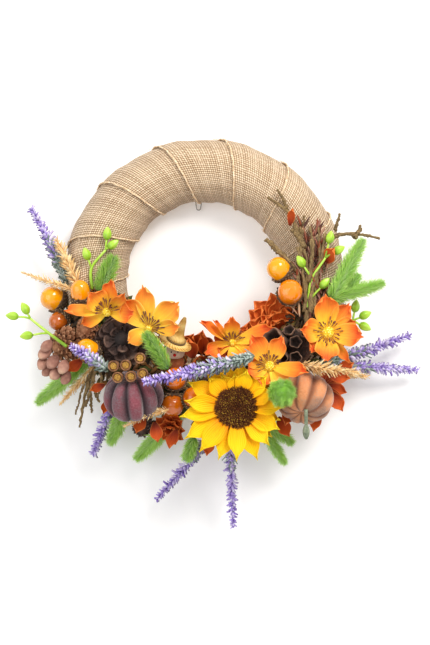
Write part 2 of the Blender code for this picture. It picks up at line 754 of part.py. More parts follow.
def doll():
    """A little straw-hatted doll: its cloth body with the head, and its hat."""
    turned(
        "doll_body", CLOTH, facing_frame(249.3, -30, 90, 75),
        [(0, 13), (7, 11), (10, 4), (8.5, -3), (9, -7), (7, -15), (0, -16)],
    )
    turned(
        "doll_hat", STRAW, facing_frame(243.4, -51, 76, 72),
        [(0, 22), (3, 20), (8, 5), (15, -4), (15.5, -6), (9, -6), (0, -5)],
    )


def cosmos(name, frame, centre_frame, petals, reach, notch, centre_radius=8.0):
    """An orange silk flower and its yellow middle."""
    rosette(name, SILK, frame, petals, reach, notch)
    boss(f"{name}_centre", STAMENS, centre_frame, centre_radius, 7)


def flowers():
    """The large silk flowers at the front."""
    rosette("cosmos_middle", SILK, facing_frame(294.1, -43, 90, 25, 15), 5, 30, 13)
    rosette("cosmos_upper_left", SILK, facing_frame(221.6, -41, 60, 10, 20), 5, 28, 13)
    cosmos(
        "cosmos_left", facing_frame(198.8, -9, 90, 12, 12), facing_frame(199.6, -11, 90, 12),
        5, 31, 15,
    )
    cosmos(
        "cosmos_lower_right", facing_frame(306.5, -4, 40, 12, 10),
        facing_frame(306.5, -4, 40, 12), 5, 29, 13, 7,
    )
    cosmos(
        "cosmos_right", facing_frame(336, 22, 20, 10, 30), facing_frame(336, 22, 20, 10),
        6, 31, 15,
    )
    rosette("sunflower_petals", SUN_PETAL, facing_frame(283.5, 25, 270, 14), 16, 50, 30, 4)
    boss("sunflower_seeds", SUN_SEEDS, facing_frame(283.9, 20, 270, 14), 21.5, 9)


def finishing_sprigs():
    """Light sprigs laid over the flowers last."""
    spike("tail_middle", PLUSH, sprig_frame(247.6, -14, 117.4, 2), 42, 12)
    spike("lavender_small_left", LAVENDER, sprig_frame(224.5, 21, 140.4, 8), 44, 11)
    spike("lavender_middle", LAVENDER, sprig_frame(303.4, -20, 191, -2), 118, 12, -8)
    spike("plush_ball", PLUSH, sprig_frame(298.9, 16.8, 0), 28, 28)


foam = foam_ring()
wrap = burlap_wrap()
cut_staple_holes([foam, wrap])
fixed(foam)
fixed(wrap)
fixed(hanger_staple())
fixed(hanger_loop())
twigs()
lavender_and_grasses()
rust_silks()
acorns()
cones_and_pumpkins()
seed_cups()
bud_sprigs()
doll()
flowers()
finishing_sprigs()
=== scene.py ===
"""Harvest door wreath: the looks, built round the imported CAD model.

A foam ring wound in one burlap ribbon hangs by a wire loop. Silk flowers, faux pumpkins, acorns,
cones, lavender and plush grasses are hot-glued over its lower half. Metres, +Z up, front to -Y.
"""

import math

import bmesh
import bpy
import numpy as np
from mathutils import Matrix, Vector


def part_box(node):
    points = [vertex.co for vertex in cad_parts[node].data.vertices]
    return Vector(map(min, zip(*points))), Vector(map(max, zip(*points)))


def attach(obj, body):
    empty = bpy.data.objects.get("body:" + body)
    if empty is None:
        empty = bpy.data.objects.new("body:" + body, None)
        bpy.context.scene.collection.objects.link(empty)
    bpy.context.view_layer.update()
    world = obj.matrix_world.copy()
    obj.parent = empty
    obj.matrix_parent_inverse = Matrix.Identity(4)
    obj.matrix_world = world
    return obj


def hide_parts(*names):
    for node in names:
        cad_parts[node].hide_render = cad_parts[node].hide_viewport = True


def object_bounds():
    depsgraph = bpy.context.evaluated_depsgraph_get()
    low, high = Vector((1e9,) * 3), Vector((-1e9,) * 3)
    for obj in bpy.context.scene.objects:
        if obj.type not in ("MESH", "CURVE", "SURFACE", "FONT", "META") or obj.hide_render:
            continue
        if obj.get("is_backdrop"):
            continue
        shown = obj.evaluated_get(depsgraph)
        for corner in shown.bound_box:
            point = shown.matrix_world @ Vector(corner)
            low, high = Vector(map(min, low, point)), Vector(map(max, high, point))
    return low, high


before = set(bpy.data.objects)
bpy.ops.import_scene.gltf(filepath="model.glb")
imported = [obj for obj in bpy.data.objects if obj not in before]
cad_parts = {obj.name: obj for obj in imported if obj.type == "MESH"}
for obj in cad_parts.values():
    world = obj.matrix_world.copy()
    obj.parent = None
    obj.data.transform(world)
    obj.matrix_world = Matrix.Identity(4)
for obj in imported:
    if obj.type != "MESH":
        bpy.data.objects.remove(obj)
cad_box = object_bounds()

# The view: a straight look at the front from a metre and a half away, level with the lower half
# of the ring. A large soft lamp shines from the upper right, and a pale wall stands close behind.
MM = 0.001
foam_low, foam_high = (np.array(corner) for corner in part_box("foam_ring"))
RING = (foam_low + foam_high) / 2
DOOR = np.array(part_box("hanger_staple")[1])[1] + 3 * MM


def paint(red, green, blue):
    """A display colour, each part from 0 to 255, as the linear light that shaders use."""
    part = np.array([red, green, blue]) / 255
    linear = np.where(part <= 0.04045, part / 12.92, ((part + 0.055) / 1.055) ** 2.4)
    return (*(float(value) for value in linear), 1.0)


def lamp(name, place, aim, size, watts, colour):
    """A square soft lamp at a place in metres from the ring's middle, turned to a point there."""
    light = bpy.data.lights.new(name, "AREA")
    light.shape = "SQUARE"
    light.size = size
    light.energy = watts
    light.color = colour
    made = bpy.data.objects.new(name, light)
    made.location = RING + np.array(place)
    towards = np.array(aim) - np.array(place)
    made.rotation_euler = (
        math.atan2(math.hypot(towards[0], towards[1]), -towards[2]),
        0,
        math.atan2(-towards[0], towards[1]),
    )
    bpy.context.scene.collection.objects.link(made)


lamp("key_lamp", (0.75, -1.3, 1.1), (0, 0, -0.05), 0.8, 31, (1.0, 0.97, 0.93))
lamp("fill_lamp", (-1.2, -1.5, 0.1), (0, 0, -0.05), 1.6, 14, (0.97, 0.98, 1.0))
lamp("rear_lamp", (-0.6, 1.6, 0.8), (0, 0, 0), 1.4, 14, (1.0, 1.0, 1.0))

world = bpy.data.worlds.new("studio")
world.use_nodes = True
world.node_tree.nodes["Background"].inputs["Color"].default_value = (1.0, 0.995, 0.99, 1)
world.node_tree.nodes["Background"].inputs["Strength"].default_value = 0.69
bpy.context.scene.world = world
bpy.context.scene.view_settings.view_transform = "Standard"

camera = bpy.data.objects.new("camera", bpy.data.cameras.new("camera"))
camera.data.sensor_width = 36
camera.data.lens = 78.15
camera.location = (RING[0] + 11.3 * MM, -1.52, RING[2] - 46.6 * MM)
camera.rotation_euler = (math.pi / 2, 0, 0)
bpy.context.scene.collection.objects.link(camera)
bpy.context.scene.camera = camera


class Signal:
    """A shader socket. Arithmetic on it adds Math nodes, so a pattern is written as a formula."""

    def __init__(self, finish, socket):
        self.finish = finish
        self.socket = socket

    def math(self, operation, *others, clamp=False):
        """A Math node on this and other signals or numbers."""
        settings = {"operation": operation, "use_clamp": clamp}
        return self.finish.node("ShaderNodeMath", settings, dict(enumerate((self, *others))))

    def after(self, operation, first):
        """A Math node with a plain number first and this second."""
        return self.finish.node("ShaderNodeMath", {"operation": operation}, {0: first, 1: self})

    def __add__(self, other):
        return self.math("ADD", other)

    def __radd__(self, other):
        return self.math("ADD", other)

    def __sub__(self, other):
        return self.math("SUBTRACT", other)

    def __rsub__(self, other):
        return self.after("SUBTRACT", other)

    def __mul__(self, other):
        return self.math("MULTIPLY", other)

    def __rmul__(self, other):
        return self.math("MULTIPLY", other)

    def __pow__(self, other):
        return self.math("POWER", other)

    def clamped(self):
        """Held between 0 and 1."""
        return self.math("ADD", 0.0, clamp=True)


class Finish:
    """A Principled material whose pattern is written in Python."""

    def __init__(self, name, **constants):
        self.material = bpy.data.materials.new(name)
        self.material.use_nodes = True
        self.tree = self.material.node_tree
        self.shader = self.tree.nodes["Principled BSDF"]
        for socket, value in constants.items():
            self.shader.inputs[socket.replace("_", " ")].default_value = value

    def node(self, kind, settings=None, inputs=None, output=0):
        """Adds a node: its settings first, then a value or a Signal for each of its inputs."""
        made = self.tree.nodes.new(kind)
        for key, value in (settings or {}).items():
            setattr(made, key, value)
        for key, value in (inputs or {}).items():
            if isinstance(value, Signal):
                self.tree.links.new(value.socket, made.inputs[key])
            else:
                made.inputs[key].default_value = value
        return Signal(self, made.outputs[output])

    def place(self):
        """The point's own Object coordinates."""
        return self.node("ShaderNodeTexCoord", output="Object")

    def along(self, part):
        """One part of the UV map: 0 runs along the grid's rows, 1 across its columns."""
        uv = self.node("ShaderNodeTexCoord", output="UV")
        return self.node("ShaderNodeSeparateXYZ", None, {0: uv}, part)

    def given(self, name):
        """A number that the mesh holds for each copy of a repeated shape."""
        return self.node("ShaderNodeAttribute", {"attribute_name": name}, None, "Fac")

    def noise(self, scale, detail=3.0, where=None):
        """Soft noise about 0.5, with scale lumps to the metre."""
        where = where or self.place()
        return self.node(
            "ShaderNodeTexNoise", None, {"Vector": where, "Scale": scale, "Detail": detail}, 0
        )

    def blend(self, share, first, second):
        """The first colour where share is 0, and the second where it is 1."""
        settings = {"data_type": "RGBA"}
        return self.node("ShaderNodeMix", settings, {0: share, 6: first, 7: second}, 2)

    def ramp(self, share, *stops):
        """A colour that runs through (position, red, green, blue) stops as share grows."""
        made = self.node("ShaderNodeValToRGB", None, {0: share})
        elements = made.socket.node.color_ramp.elements
        while len(elements) < len(stops):
            elements.new(1)
        for element, (position, *colour) in zip(elements, stops):
            element.position = position
            element.color = paint(*colour)
        return made

    def colour(self, share, *stops):
        """Colours the surface with a ramp of (position, red, green, blue) stops."""
        self.set("Base Color", self.ramp(share, *stops))

    def bump(self, height, distance):
        """Raises the surface by height times a distance in metres."""
        settings = {"Height": height, "Distance": distance}
        self.set("Normal", self.node("ShaderNodeBump", None, settings))

    def set(self, socket, value):
        """Links a signal to one of the shader's sockets."""
        self.tree.links.new(value.socket, self.shader.inputs[socket])


wall_paint = Finish(
    "wall_paint", Roughness=0.95, Emission_Color=(1.0, 0.98, 0.96, 1.0), Emission_Strength=0.06,
)
grain = wall_paint.noise(3.0)
wall_paint.colour(grain, (0, 250, 249, 248), (1, 255, 255, 255))
seen_from_behind = wall_paint.node("ShaderNodeNewGeometry", output="Backfacing")
clear = wall_paint.node("ShaderNodeBsdfTransparent")
front_only = wall_paint.node(
    "ShaderNodeMixShader", None,
    {0: seen_from_behind, 1: Signal(wall_paint, wall_paint.shader.outputs[0]), 2: clear},
)
wall_paint.tree.links.new(
    front_only.socket, wall_paint.tree.nodes["Material Output"].inputs["Surface"]
)


def backdrop(name, corners):
    """A flat pale stage surface through four corners, given anticlockwise as its face is seen."""
    mesh = bpy.data.meshes.new(name)
    mesh.from_pydata(corners, [], [(0, 1, 2, 3)])
    mesh.materials.append(wall_paint.material)
    made = bpy.data.objects.new(name, mesh)
    made.visible_shadow = False
    made.visible_diffuse = False
    bpy.context.scene.collection.objects.link(made)
    made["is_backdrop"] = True


REACH = 3.0
FLOOR = RING[2] - 1.1
backdrop(
    "wall",
    [(-REACH, DOOR, FLOOR), (REACH, DOOR, FLOOR), (REACH, DOOR, REACH), (-REACH, DOOR, REACH)]
)
backdrop(
    "floor",
    [(-REACH, -REACH, FLOOR), (REACH, -REACH, FLOOR), (REACH, REACH, FLOOR), (-REACH, REACH, FLOOR)]
)

# The burlap: one natural jute ribbon 76 mm wide with woven edges, wound round the foam ring as a
# helix of thirteen turns, each lying over the edge of the one before. Its end is glued at the back.
TURNS = 13
RIBBON_WIDTH = 76 * MM
RIBBON_START = math.radians(281.5)
END_GAP = 0.004
CLOSING_RISE = 0.06
EDGE_SLOPE = 0.10
EDGE_CLEARANCE = 0.02
BACK_CORNER = 9 * MM
THREAD = 2.3 * MM
CLOTH = 1.0 * MM
LAYER = 1.6 * MM
FOAM_GAP = 0.5 * MM
FOAM_HOLE = 171 * MM
SECTION_HALF = (foam_high[0] - foam_low[0]) / 4 - FOAM_HOLE / 4
MEAN_RADIUS = (foam_high[0] - foam_low[0]) / 2 - SECTION_HALF
FOAM_FRONT, FOAM_BACK = foam_low[1], foam_high[1]


def section(place, offset):
    """(across, y) of the D-shaped section grown outwards by offset. place runs from 0 to 13: a
    quarter circle at the outer back corner, half an ellipse over the front, a quarter circle at
    the inner back corner, then straight across the back."""
    place = place % 13
    corner_turn = np.where(place < 6, place - 2, 10 - place) * math.pi / 4
    arc_turn = (place - 2) * math.pi / 8
    front = FOAM_BACK - FOAM_FRONT - BACK_CORNER
    side = np.where(place < 6, 1, -1)
    in_corner = (place < 2) | ((place > 10) & (place < 12))
    on_back = place >= 12
    across = np.where(
        in_corner,
        side * (SECTION_HALF - BACK_CORNER + BACK_CORNER * np.cos(corner_turn)),
        SECTION_HALF * np.cos(arc_turn),
    )
    depth = np.where(
        in_corner, BACK_CORNER + BACK_CORNER * np.sin(corner_turn),
        BACK_CORNER + front * np.sin(arc_turn),
    )
    normal_across = np.where(
        in_corner, side * np.cos(corner_turn), np.cos(arc_turn) / SECTION_HALF * front
    )
    normal_depth = np.where(in_corner, np.sin(corner_turn), np.sin(arc_turn))
    size = np.hypot(normal_across, normal_depth)
    flat = (place - 12.5) * 2 * (SECTION_HALF - BACK_CORNER)
    across = np.where(on_back, flat, across) + offset * np.where(on_back, 0, normal_across / size)
    depth = np.where(on_back, 0, depth) + offset * np.where(on_back, -1, normal_depth / size)
    return across, FOAM_BACK - depth


def layers_beneath(turn, lane):
    """How many layers lie under the ribbon: its trailing edge lies on the turn before, and the
    last turn's leading edge also lies over the first turn."""
    pitch = math.tau / TURNS * MEAN_RADIUS
    overlap = 1 - pitch / RIBBON_WIDTH
    fall = np.clip((overlap + EDGE_SLOPE - lane) / EDGE_SLOPE, 0, 1)
    rise = np.clip((lane - (1 - overlap - EDGE_SLOPE - EDGE_CLEARANCE)) / EDGE_SLOPE, 0, 1)
    closing = np.clip((turn - (TURNS - 1 - CLOSING_RISE)) / CLOSING_RISE, 0, 1)
    return fall + 2 * rise * closing


def on_ribbon(turn, lane, lift):
    """A point of the wound ribbon: turn counts along it, lane runs from its trailing edge to its
    leading edge, and lift is the height over the foam."""
    across, y = section(turn * 13, lift)
    angle = RIBBON_START - math.tau * turn / TURNS - lane * RIBBON_WIDTH / MEAN_RADIUS
    radius = MEAN_RADIUS + across
    return np.stack(
        [RING[0] + radius * np.cos(angle), y + 0 * angle, RING[2] + radius * np.sin(angle)], -1
    )


def patch(points, closed=False, along=0.0, chance=0.0, uv=None):
    """A grid of points, (rows, columns, 3) or many copies of one, (copies, rows, columns, 3).
    A closed patch joins its last column to its first. along and chance are numbers per copy."""
    points = points if points.ndim == 4 else points[None]
    count = len(points)
    return points, closed, np.broadcast_to(along, count), np.broadcast_to(chance, count), uv


def make(name, patches, finish, stands_for=(), body="wreath", thickness=0.0):
    """One smooth object from patches: each cell of a grid is a face, and points that meet are
    merged, which closes the poles. Its UV runs along the rows, then across the columns."""
    points, corners, uvs, along, chance = [], [], [], [], []
    start = 0
    for grid, closed, share, luck, uv in patches:
        count, rows, columns = grid.shape[:3]
        index = start + np.arange(count * rows * columns).reshape(count, rows, columns)
        ring = np.concatenate([index, index[:, :, :1]], 2) if closed else index
        corners.append(
            np.stack([ring[:, :-1, :-1], ring[:, :-1, 1:], ring[:, 1:, 1:], ring[:, 1:, :-1]], -1)
            .reshape(-1, 4)
        )
        if uv is None:
            across = np.linspace(0, 1, ring.shape[2])
            uv = np.stack(np.meshgrid(np.linspace(0, 1, rows), across, indexing="ij"), -1)
        cells = np.stack([uv[:-1, :-1], uv[:-1, 1:], uv[1:, 1:], uv[1:, :-1]], -2)
        uvs.append(np.broadcast_to(cells[None], (count, *cells.shape)).reshape(-1, 2))
        points.append(grid.reshape(-1, 3))
        along.append(np.repeat(share, rows * columns))
        chance.append(np.repeat(luck, rows * columns))
        start += grid.size // 3
    points, corners = np.concatenate(points), np.concatenate(corners)
    mesh = bpy.data.meshes.new(name)
    mesh.vertices.add(len(points))
    mesh.vertices.foreach_set("co", points.ravel())
    mesh.loops.add(corners.size)
    mesh.loops.foreach_set("vertex_index", corners.ravel().astype(np.int32))
    mesh.polygons.add(len(corners))
    mesh.polygons.foreach_set("loop_start", np.arange(0, corners.size, 4, dtype=np.int32))
    mesh.update(calc_edges=True)
    layer = mesh.uv_layers.new(name="UVMap")
    layer.data.foreach_set("uv", np.concatenate(uvs).ravel())
    for key, values in (("along", along), ("chance", chance)):
        attribute = mesh.attributes.new(key, "FLOAT", "POINT")
        attribute.data.foreach_set("value", np.concatenate(values).astype(np.float32))
    shape = bmesh.new()
    shape.from_mesh(mesh)
    bmesh.ops.remove_doubles(shape, verts=shape.verts, dist=0.001 * MM)
    shape.to_mesh(mesh)
    shape.free()
    mesh.shade_smooth()
    mesh.materials.append(finish.material)
    made = bpy.data.objects.new(name, mesh)
    bpy.context.scene.collection.objects.link(made)
    if thickness:
        wall = made.modifiers.new("thickness", "SOLIDIFY")
        wall.thickness = thickness
        wall.offset = 0
    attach(made, body)
    if stands_for:
        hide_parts(*stands_for)
    return made


jute = Finish("woven_jute", Roughness=0.92, Sheen_Weight=0.15)
waver = jute.noise(55.0, 2.0) * 0.5 - 0.25
warp, weft = jute.along(0) + waver, jute.along(1) + waver * 0.6
warp_side, weft_side = warp.math("FRACT") - 0.5, weft.math("FRACT") - 0.5
over = (warp.math("FLOOR") + weft.math("FLOOR")).math("PINGPONG", 1.0)
cos_warp = (warp_side * math.pi).math("COSINE")
cos_weft = (weft_side * math.pi).math("COSINE")
threads = over * cos_weft * cos_warp ** 0.35 + (1 - over) * cos_warp * cos_weft ** 0.35
spun = jute.node("ShaderNodeTexWhiteNoise", {"noise_dimensions": "2D"}, {
    "Vector": jute.node(
        "ShaderNodeCombineXYZ", None,
        {0: (warp * over).math("FLOOR"), 1: (weft * (1 - over)).math("FLOOR")}
    )
})
# The thread crowns are painted lighter and the gaps between the threads darker, painted shade in the hollows
# of the weave; each thread also takes a random tone.
shade = (threads * 0.85 + spun * 0.30 + jute.noise(14.0) * 0.30 - 0.22).clamped()
jute.colour(
    shade, (0.0, 98, 66, 36), (0.22, 158, 122, 82), (0.5, 206, 174, 136),
    (0.9, 244, 222, 192),
)
jute.bump(threads, 0.9 * MM)

ROWS_A_TURN, LANES = 78, 25
turn = np.linspace(0, TURNS - END_GAP, int((TURNS - END_GAP) * ROWS_A_TURN))[:, None]
lane = np.linspace(1, 0, LANES)[None, :]
pucker = 0.22 * MM * np.sin(turn * 41 + lane * 7) * np.sin(turn * 17.3 - lane * 11)
ribbon = on_ribbon(turn, lane, FOAM_GAP + CLOTH / 2 + layers_beneath(turn, lane) * LAYER + pucker)
steps = np.linalg.norm(np.diff(ribbon[:, LANES // 2], axis=0), axis=1)
run = np.concatenate([[0], np.cumsum(steps)])
threads_uv = np.stack(np.meshgrid(run / THREAD, lane[0] * RIBBON_WIDTH / THREAD, indexing="ij"), -1)
wrap = make(
    "burlap_ribbon", [patch(ribbon, uv=threads_uv)], jute, ["burlap_wrap"],
    thickness=CLOTH
)


def unit(vectors):
    """Vectors divided by their own lengths."""
    return vectors / np.linalg.norm(vectors, axis=-1, keepdims=True)


def cross_frames(path):
    """For each point of a path, (..., points, 3): its direction, and two directions square to it."""
    ahead = unit(np.gradient(path, axis=-2))
    helper = np.where(np.abs(ahead[..., 1:2]) > 0.9, [1.0, 0, 0], [0, 1.0, 0])
    side = unit(np.cross(helper, ahead))
    return ahead, side, np.cross(ahead, side)


def tube(path, radius, columns=8):
    """A round rod along a path, closed to a point at both ends: each ring is the path's point plus
    radius times (cos, sin) on the two directions square to the path."""
    path = np.concatenate([path[..., :1, :], path, path[..., -1:, :]], -2)
    radius = np.broadcast_to(radius, path.shape[:-2] + (path.shape[-2] - 2,))
    radius = np.concatenate([0 * radius[..., :1], radius, 0 * radius[..., -1:]], -1)
    ends = path.copy()
    ends[..., 0, :] -= path[..., 2, :] - path[..., 1, :]
    ends[..., -1, :] += path[..., -2, :] - path[..., -3, :]
    _, side, front = cross_frames(ends)
    turn = np.linspace(0, math.tau, columns, endpoint=False)[:, None]
    ring = np.cos(turn) * side[..., None, :] + np.sin(turn) * front[..., None, :]
    return path[..., None, :] + radius[..., None, None] * ring


edge_turn = np.linspace(0, TURNS - END_GAP, int((TURNS - END_GAP) * ROWS_A_TURN * 2))
knobble = 0.5 + 0.5 * np.sin(edge_turn * 430)
edge_lift = FOAM_GAP + LAYER + 1.5 * MM + 0.25 * MM * np.sin(edge_turn * 90)
edge_line = on_ribbon(edge_turn, 0.004 + 0.004 * np.sin(edge_turn * 63), edge_lift)
cord = Finish("jute_selvedge", Roughness=0.92)
cord.colour(
    cord.noise(420.0), (0.3, 196, 160, 118), (0.5, 236, 208, 170), (0.7, 252, 236, 210),
)
make(
    "burlap_selvedge", [patch(tube(edge_line, (0.6 + 0.4 * knobble) * MM, 6), True)], cord,
)

dice = np.random.default_rng(11)
count = 900
fray_turn = np.sort(dice.uniform(0.1, TURNS - 0.2, count))
fray_start = on_ribbon(fray_turn, dice.normal(0.0, 0.008, count), FOAM_GAP + LAYER + 1.2 * MM)
fray_end = on_ribbon(
    fray_turn + dice.normal(0, 0.014, count), dice.normal(-0.02, 0.035, count),
    FOAM_GAP + LAYER + dice.uniform(0.6, 2.6, count) * MM,
)
bow = np.array([0.0, 0.45, 0.8, 1.0])[None, :, None]
fray = fray_start[:, None] * (1 - bow) + fray_end[:, None] * bow
fray[:, 1:3] += dice.normal(0, 0.6, (count, 2, 3)) * MM
make(
    "burlap_frays", [patch(tube(fray, np.array([0.26, 0.24, 0.2, 0.12]) * MM, 3), True)], cord,
)

# The hanger: a bent loop of bare steel wire under a staple, and the white foam that it grips.
steel = Finish("bare_steel_wire", Metallic=1.0)
drawn = steel.noise(900.0)
steel.set("Roughness", drawn * 0.25 + 0.22)
steel.colour(drawn, (0.3, 120, 118, 114), (0.7, 182, 180, 176))
foam = Finish("bead_foam", Roughness=0.85)
beads = foam.node("ShaderNodeTexVoronoi", None, {"Vector": foam.place(), "Scale": 380.0}, "Distance")
# Bead tops are painted lighter and the crevices between the beads darker: painted shade.
foam.colour(beads, (0.2, 244, 244, 238), (0.8, 212, 212, 204))
foam.bump(1 - beads, 0.4 * MM)
for node, look in (("hanger_loop", steel), ("hanger_staple", steel), ("foam_ring", foam)):
    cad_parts[node].data.materials.clear()
    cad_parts[node].data.materials.append(look.material)

# The twigs: rough forked hedge twigs with peeling bark, cut with snips and glued down first, with
# dry brown shreds of bark caught between them.


def heading(degrees, back=0.0):
    """A direction in the ring's plane, anticlockwise from +X as seen from the front, and leant
    back towards the door."""
    turn, lean = math.radians(degrees), math.radians(back)
    return np.array([math.cos(turn) * math.cos(lean), math.sin(lean), math.sin(turn) * math.cos(lean)])


def middle(node):
    """The middle of a CAD node's box."""
    low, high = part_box(node)
    return (np.array(low) + np.array(high)) / 2


def on_ring(angle, out, front):
    """A place seen from the front at an angle round the ring, out millimetres outwards from the
    middle of its section, and front millimetres in front of the door side of the foam."""
    radius = MEAN_RADIUS + out * MM
    turn = math.radians(angle)
    return np.array([
        RING[0] + radius * math.cos(turn), FOAM_BACK - front * MM, RING[2] + radius * math.sin(turn),
    ])


def laid(chains, degrees, back, node):
    """Chains of (along, sideways, height) in millimetres, turned to lie along a heading and then
    moved together so that their box and the CAD node's share a middle."""
    along = heading(degrees, back)
    front = heading(degrees, back - 90)
    axes = np.stack([along, np.cross(front, along), front]) * MM
    turned = [np.array(chain, float) @ axes for chain in chains]
    every = np.concatenate(turned)
    shift = middle(node) - (every.min(0) + every.max(0)) / 2
    return [chain + shift for chain in turned]


def smooth_path(points, count):
    """A smooth curve through the points, read at count even steps: each stretch is a cubic whose
    slope at a point is that of the line between its two neighbours."""
    points = np.array(points, float)
    slope = np.gradient(points, axis=0)
    place = np.linspace(0, len(points) - 1, count)
    first = np.minimum(place.astype(int), len(points) - 2)
    part = (place - first)[:, None]
    return (
        points[first] * (2 * part**3 - 3 * part**2 + 1) + slope[first] * (part**3 - 2 * part**2 + part)
        + points[first + 1] * (3 * part**2 - 2 * part**3) + slope[first + 1] * (part**3 - part**2)
    )


def twig(points, thick, thin, dice, count=40):
    """A knotty stick: a tube whose radius falls from thick to thin and wanders on the way."""
    path = smooth_path(points, count)
    path[1:-1] += dice.normal(0, 0.35, (count - 2, 3)) * MM
    fall = np.linspace(thick, thin, count) * (1 + 0.16 * np.sin(np.arange(count) * 0.9 + thick))
    ring = tube(path, fall * MM, 9)
    centre = ring.mean(-2, keepdims=True)
    return patch(
        centre + (ring - centre) * (1 + dice.normal(0, 0.13, (*ring.shape[:2], 1))), True,
        chance=dice.random()
    )


bark = Finish("peeling_bark", Roughness=0.9)
stretch = bark.node(
    "ShaderNodeCombineXYZ", None,
    {0: bark.along(0) * 9, 1: bark.along(1) * 5, 2: bark.given("chance") * 9}
)
furrow = bark.noise(3.0, 6.0, stretch)
bark.colour(
    (furrow * 1.2 + bark.noise(130.0) * 0.4 - 0.3).clamped(),
    (0.15, 56, 40, 26), (0.42, 112, 90, 56), (0.7, 156, 130, 86), (0.95, 200, 172, 128),
)
bark.bump(furrow, 0.8 * MM)

dice = np.random.default_rng(21)
RIGHT_STICKS = [
    ([(52.0, -8.9, 49), (45.5, -8, 50), (39.0, -5.2, 50), (32.0, -6.3, 51), (25, -9, 52)], 1.3, 2.6),
    ([(50.6, 3.3, 49), (45, 0, 50), (39.0, -5.2, 50)], 1.1, 2.0),
    ([(29, -11, 51), (22, -9, 53), (16.1, -6.2, 54)], 3.0, 2.4),
    ([(31.8, 6.8, 49), (26, -2, 51), (21.6, -8.9, 51)], 1.1, 2.0),
    ([(25.4, 40.7, 49), (22.5, 34, 50), (19.8, 28.3, 51)], 1.2, 2.2),
    ([(12.5, 71.3, 51), (14.2, 62, 52), (15.7, 50.6, 53), (17.4, 36, 53), (17.5, 22, 53)], 1.2, 2.3),
    ([(18.6, 55, 52), (16.6, 52, 53), (15, 44, 53)], 1.3, 3.2),
    ([(32.4, -40.7, 51), (27, -38, 52), (18.5, -33.2, 53), (9, -25, 54), (2.3, -17.7, 55)], 2.4, 2.9),
    ([(24.5, -39, 52), (19.5, -36, 53), (16, -30, 54)], 1.3, 2.0),
    ([(18.4, -14.7, 55), (8, -14, 56), (356, -12, 56), (344, -6, 56), (333, 3, 55)], 1.3, 2.2),
    ([(16, -8, 54), (4, -9, 55), (350, -10, 56), (340, -6, 55)], 1.2, 2.0),
    ([(20, 2, 53), (10, -3, 55), (358, -5, 56), (346, 0, 55)], 1.2, 1.9),
    ([(14, 12, 53), (5, 4, 54), (354, 0, 55), (342, 4, 55)], 1.0, 1.7),
    ([(24, 14, 51), (15, 8, 53), (4, 2, 54), (352, -16, 54)], 1.0, 1.8),
    ([(28, -4, 50), (18, -10, 53), (6, -18, 54), (350, -18, 55)], 1.6, 2.6),
    ([(20, 18, 52), (12, 10, 54), (2, 0, 56), (350, -4, 57), (340, 2, 56)], 1.8, 2.8),
    ([(26, 6, 50), (17, 2, 54), (8, -4, 56), (356, -8, 57)], 1.4, 2.4),
]
sticks = []
for points, thin, thick in RIGHT_STICKS:
    path = smooth_path([on_ring(*point) for point in points], 24)
    sticks.append(twig(path[::2], thin, thick, dice, 24))
make("twigs_right_bark", sticks, bark, ["twigs_right"])

left_twigs = laid(
    [
        [(-27, 0, 0), (-8, 0, 0), (14, 0, 0), (40, 1, -1), (57, 2, -2)],
        [(4, 0, 0), (24, 7, -1), (38, 11, -2)],
        [(-6, 0, 0), (14, 9, 0), (25, 16, -1)],
        [(-10, 2, 2), (12, -4, 2), (44, -5, 0)],
        [(-16, 4, 3), (10, 5, 4), (32, 3, 4)],
        [(-22, -2, 3), (-4, 12, 4), (18, 14, 4)],
    ],
    256, 8, "twigs_lower_left",
)
sizes = [(2.4, 1.1), (1.9, 1.1), (1.8, 1.2), (1.6, 0.9), (2.2, 1.6), (1.8, 1.2)]
sticks = [twig(chain, thick, thin, dice) for chain, (thick, thin) in zip(left_twigs, sizes)]
make("twigs_left_bark", sticks, bark, ["twigs_lower_left"])

dry = Finish("dry_bark_shreds", Roughness=0.85)
dry.colour(
    dry.given("chance") * 0.7 + dry.noise(200.0) * 0.3,
    (0.2, 84, 52, 44), (0.45, 150, 74, 44), (0.7, 170, 122, 108), (0.9, 214, 170, 126),
)


def ribbon_shred(start, towards, length, width, dice):
    """A curled strip: a line from start along a heading, swept by an arc, width across."""
    along = np.linspace(0, 1, 9)[:, None]
    ahead = heading(towards, dice.uniform(-30, 10))
    side = unit(np.cross(ahead, heading(towards + dice.uniform(-40, 40), dice.uniform(30, 80))))
    lift = np.cross(side, ahead)
    line = start + ahead * length * along + lift * length * dice.uniform(-0.3, 0.3) * along**2
    across = np.linspace(-0.5, 0.5, 3)[None, :, None] * width * np.sin(
        math.pi * (0.1 + 0.85 * along[:, :, None])
    )
    return patch(line[:, None] + side * across + lift * 0.6 * np.abs(across), chance=dice.random())


shreds = [
    ribbon_shred(
        on_ring(dice.uniform(4, 25), dice.uniform(-8, 14), dice.uniform(44, 50)), dice.uniform(50, 120),
        dice.uniform(10, 22) * MM, dice.uniform(1.5, 4.0) * MM, dice,
    )
    for _ in range(60)
] + [
    ribbon_shred(
        on_ring(dice.uniform(336, 362), dice.uniform(-22, 14), dice.uniform(46, 56)),
        dice.uniform(50, 130),
        dice.uniform(10, 26) * MM, dice.uniform(1.2, 3.2) * MM, dice,
    )
    for _ in range(70)
]
make("bark_shreds", shreds, dry, thickness=0.25 * MM)

# The lavender: moulded plastic florets on wire stems, violet to pale lilac at the tip of a spike
# and grey-green leaflets towards its foot.


def scatter(leaf, places, axes, sizes):
    """Copies of one small grid: each is scaled, turned so that its x, y and z follow the rows of
    its axes, and put in its place."""
    scaled = leaf[None] * sizes.reshape(len(places), 1, 1, -1)
    return np.einsum("nrck,nkj->nrcj", scaled, axes) + places[:, None, None, :]


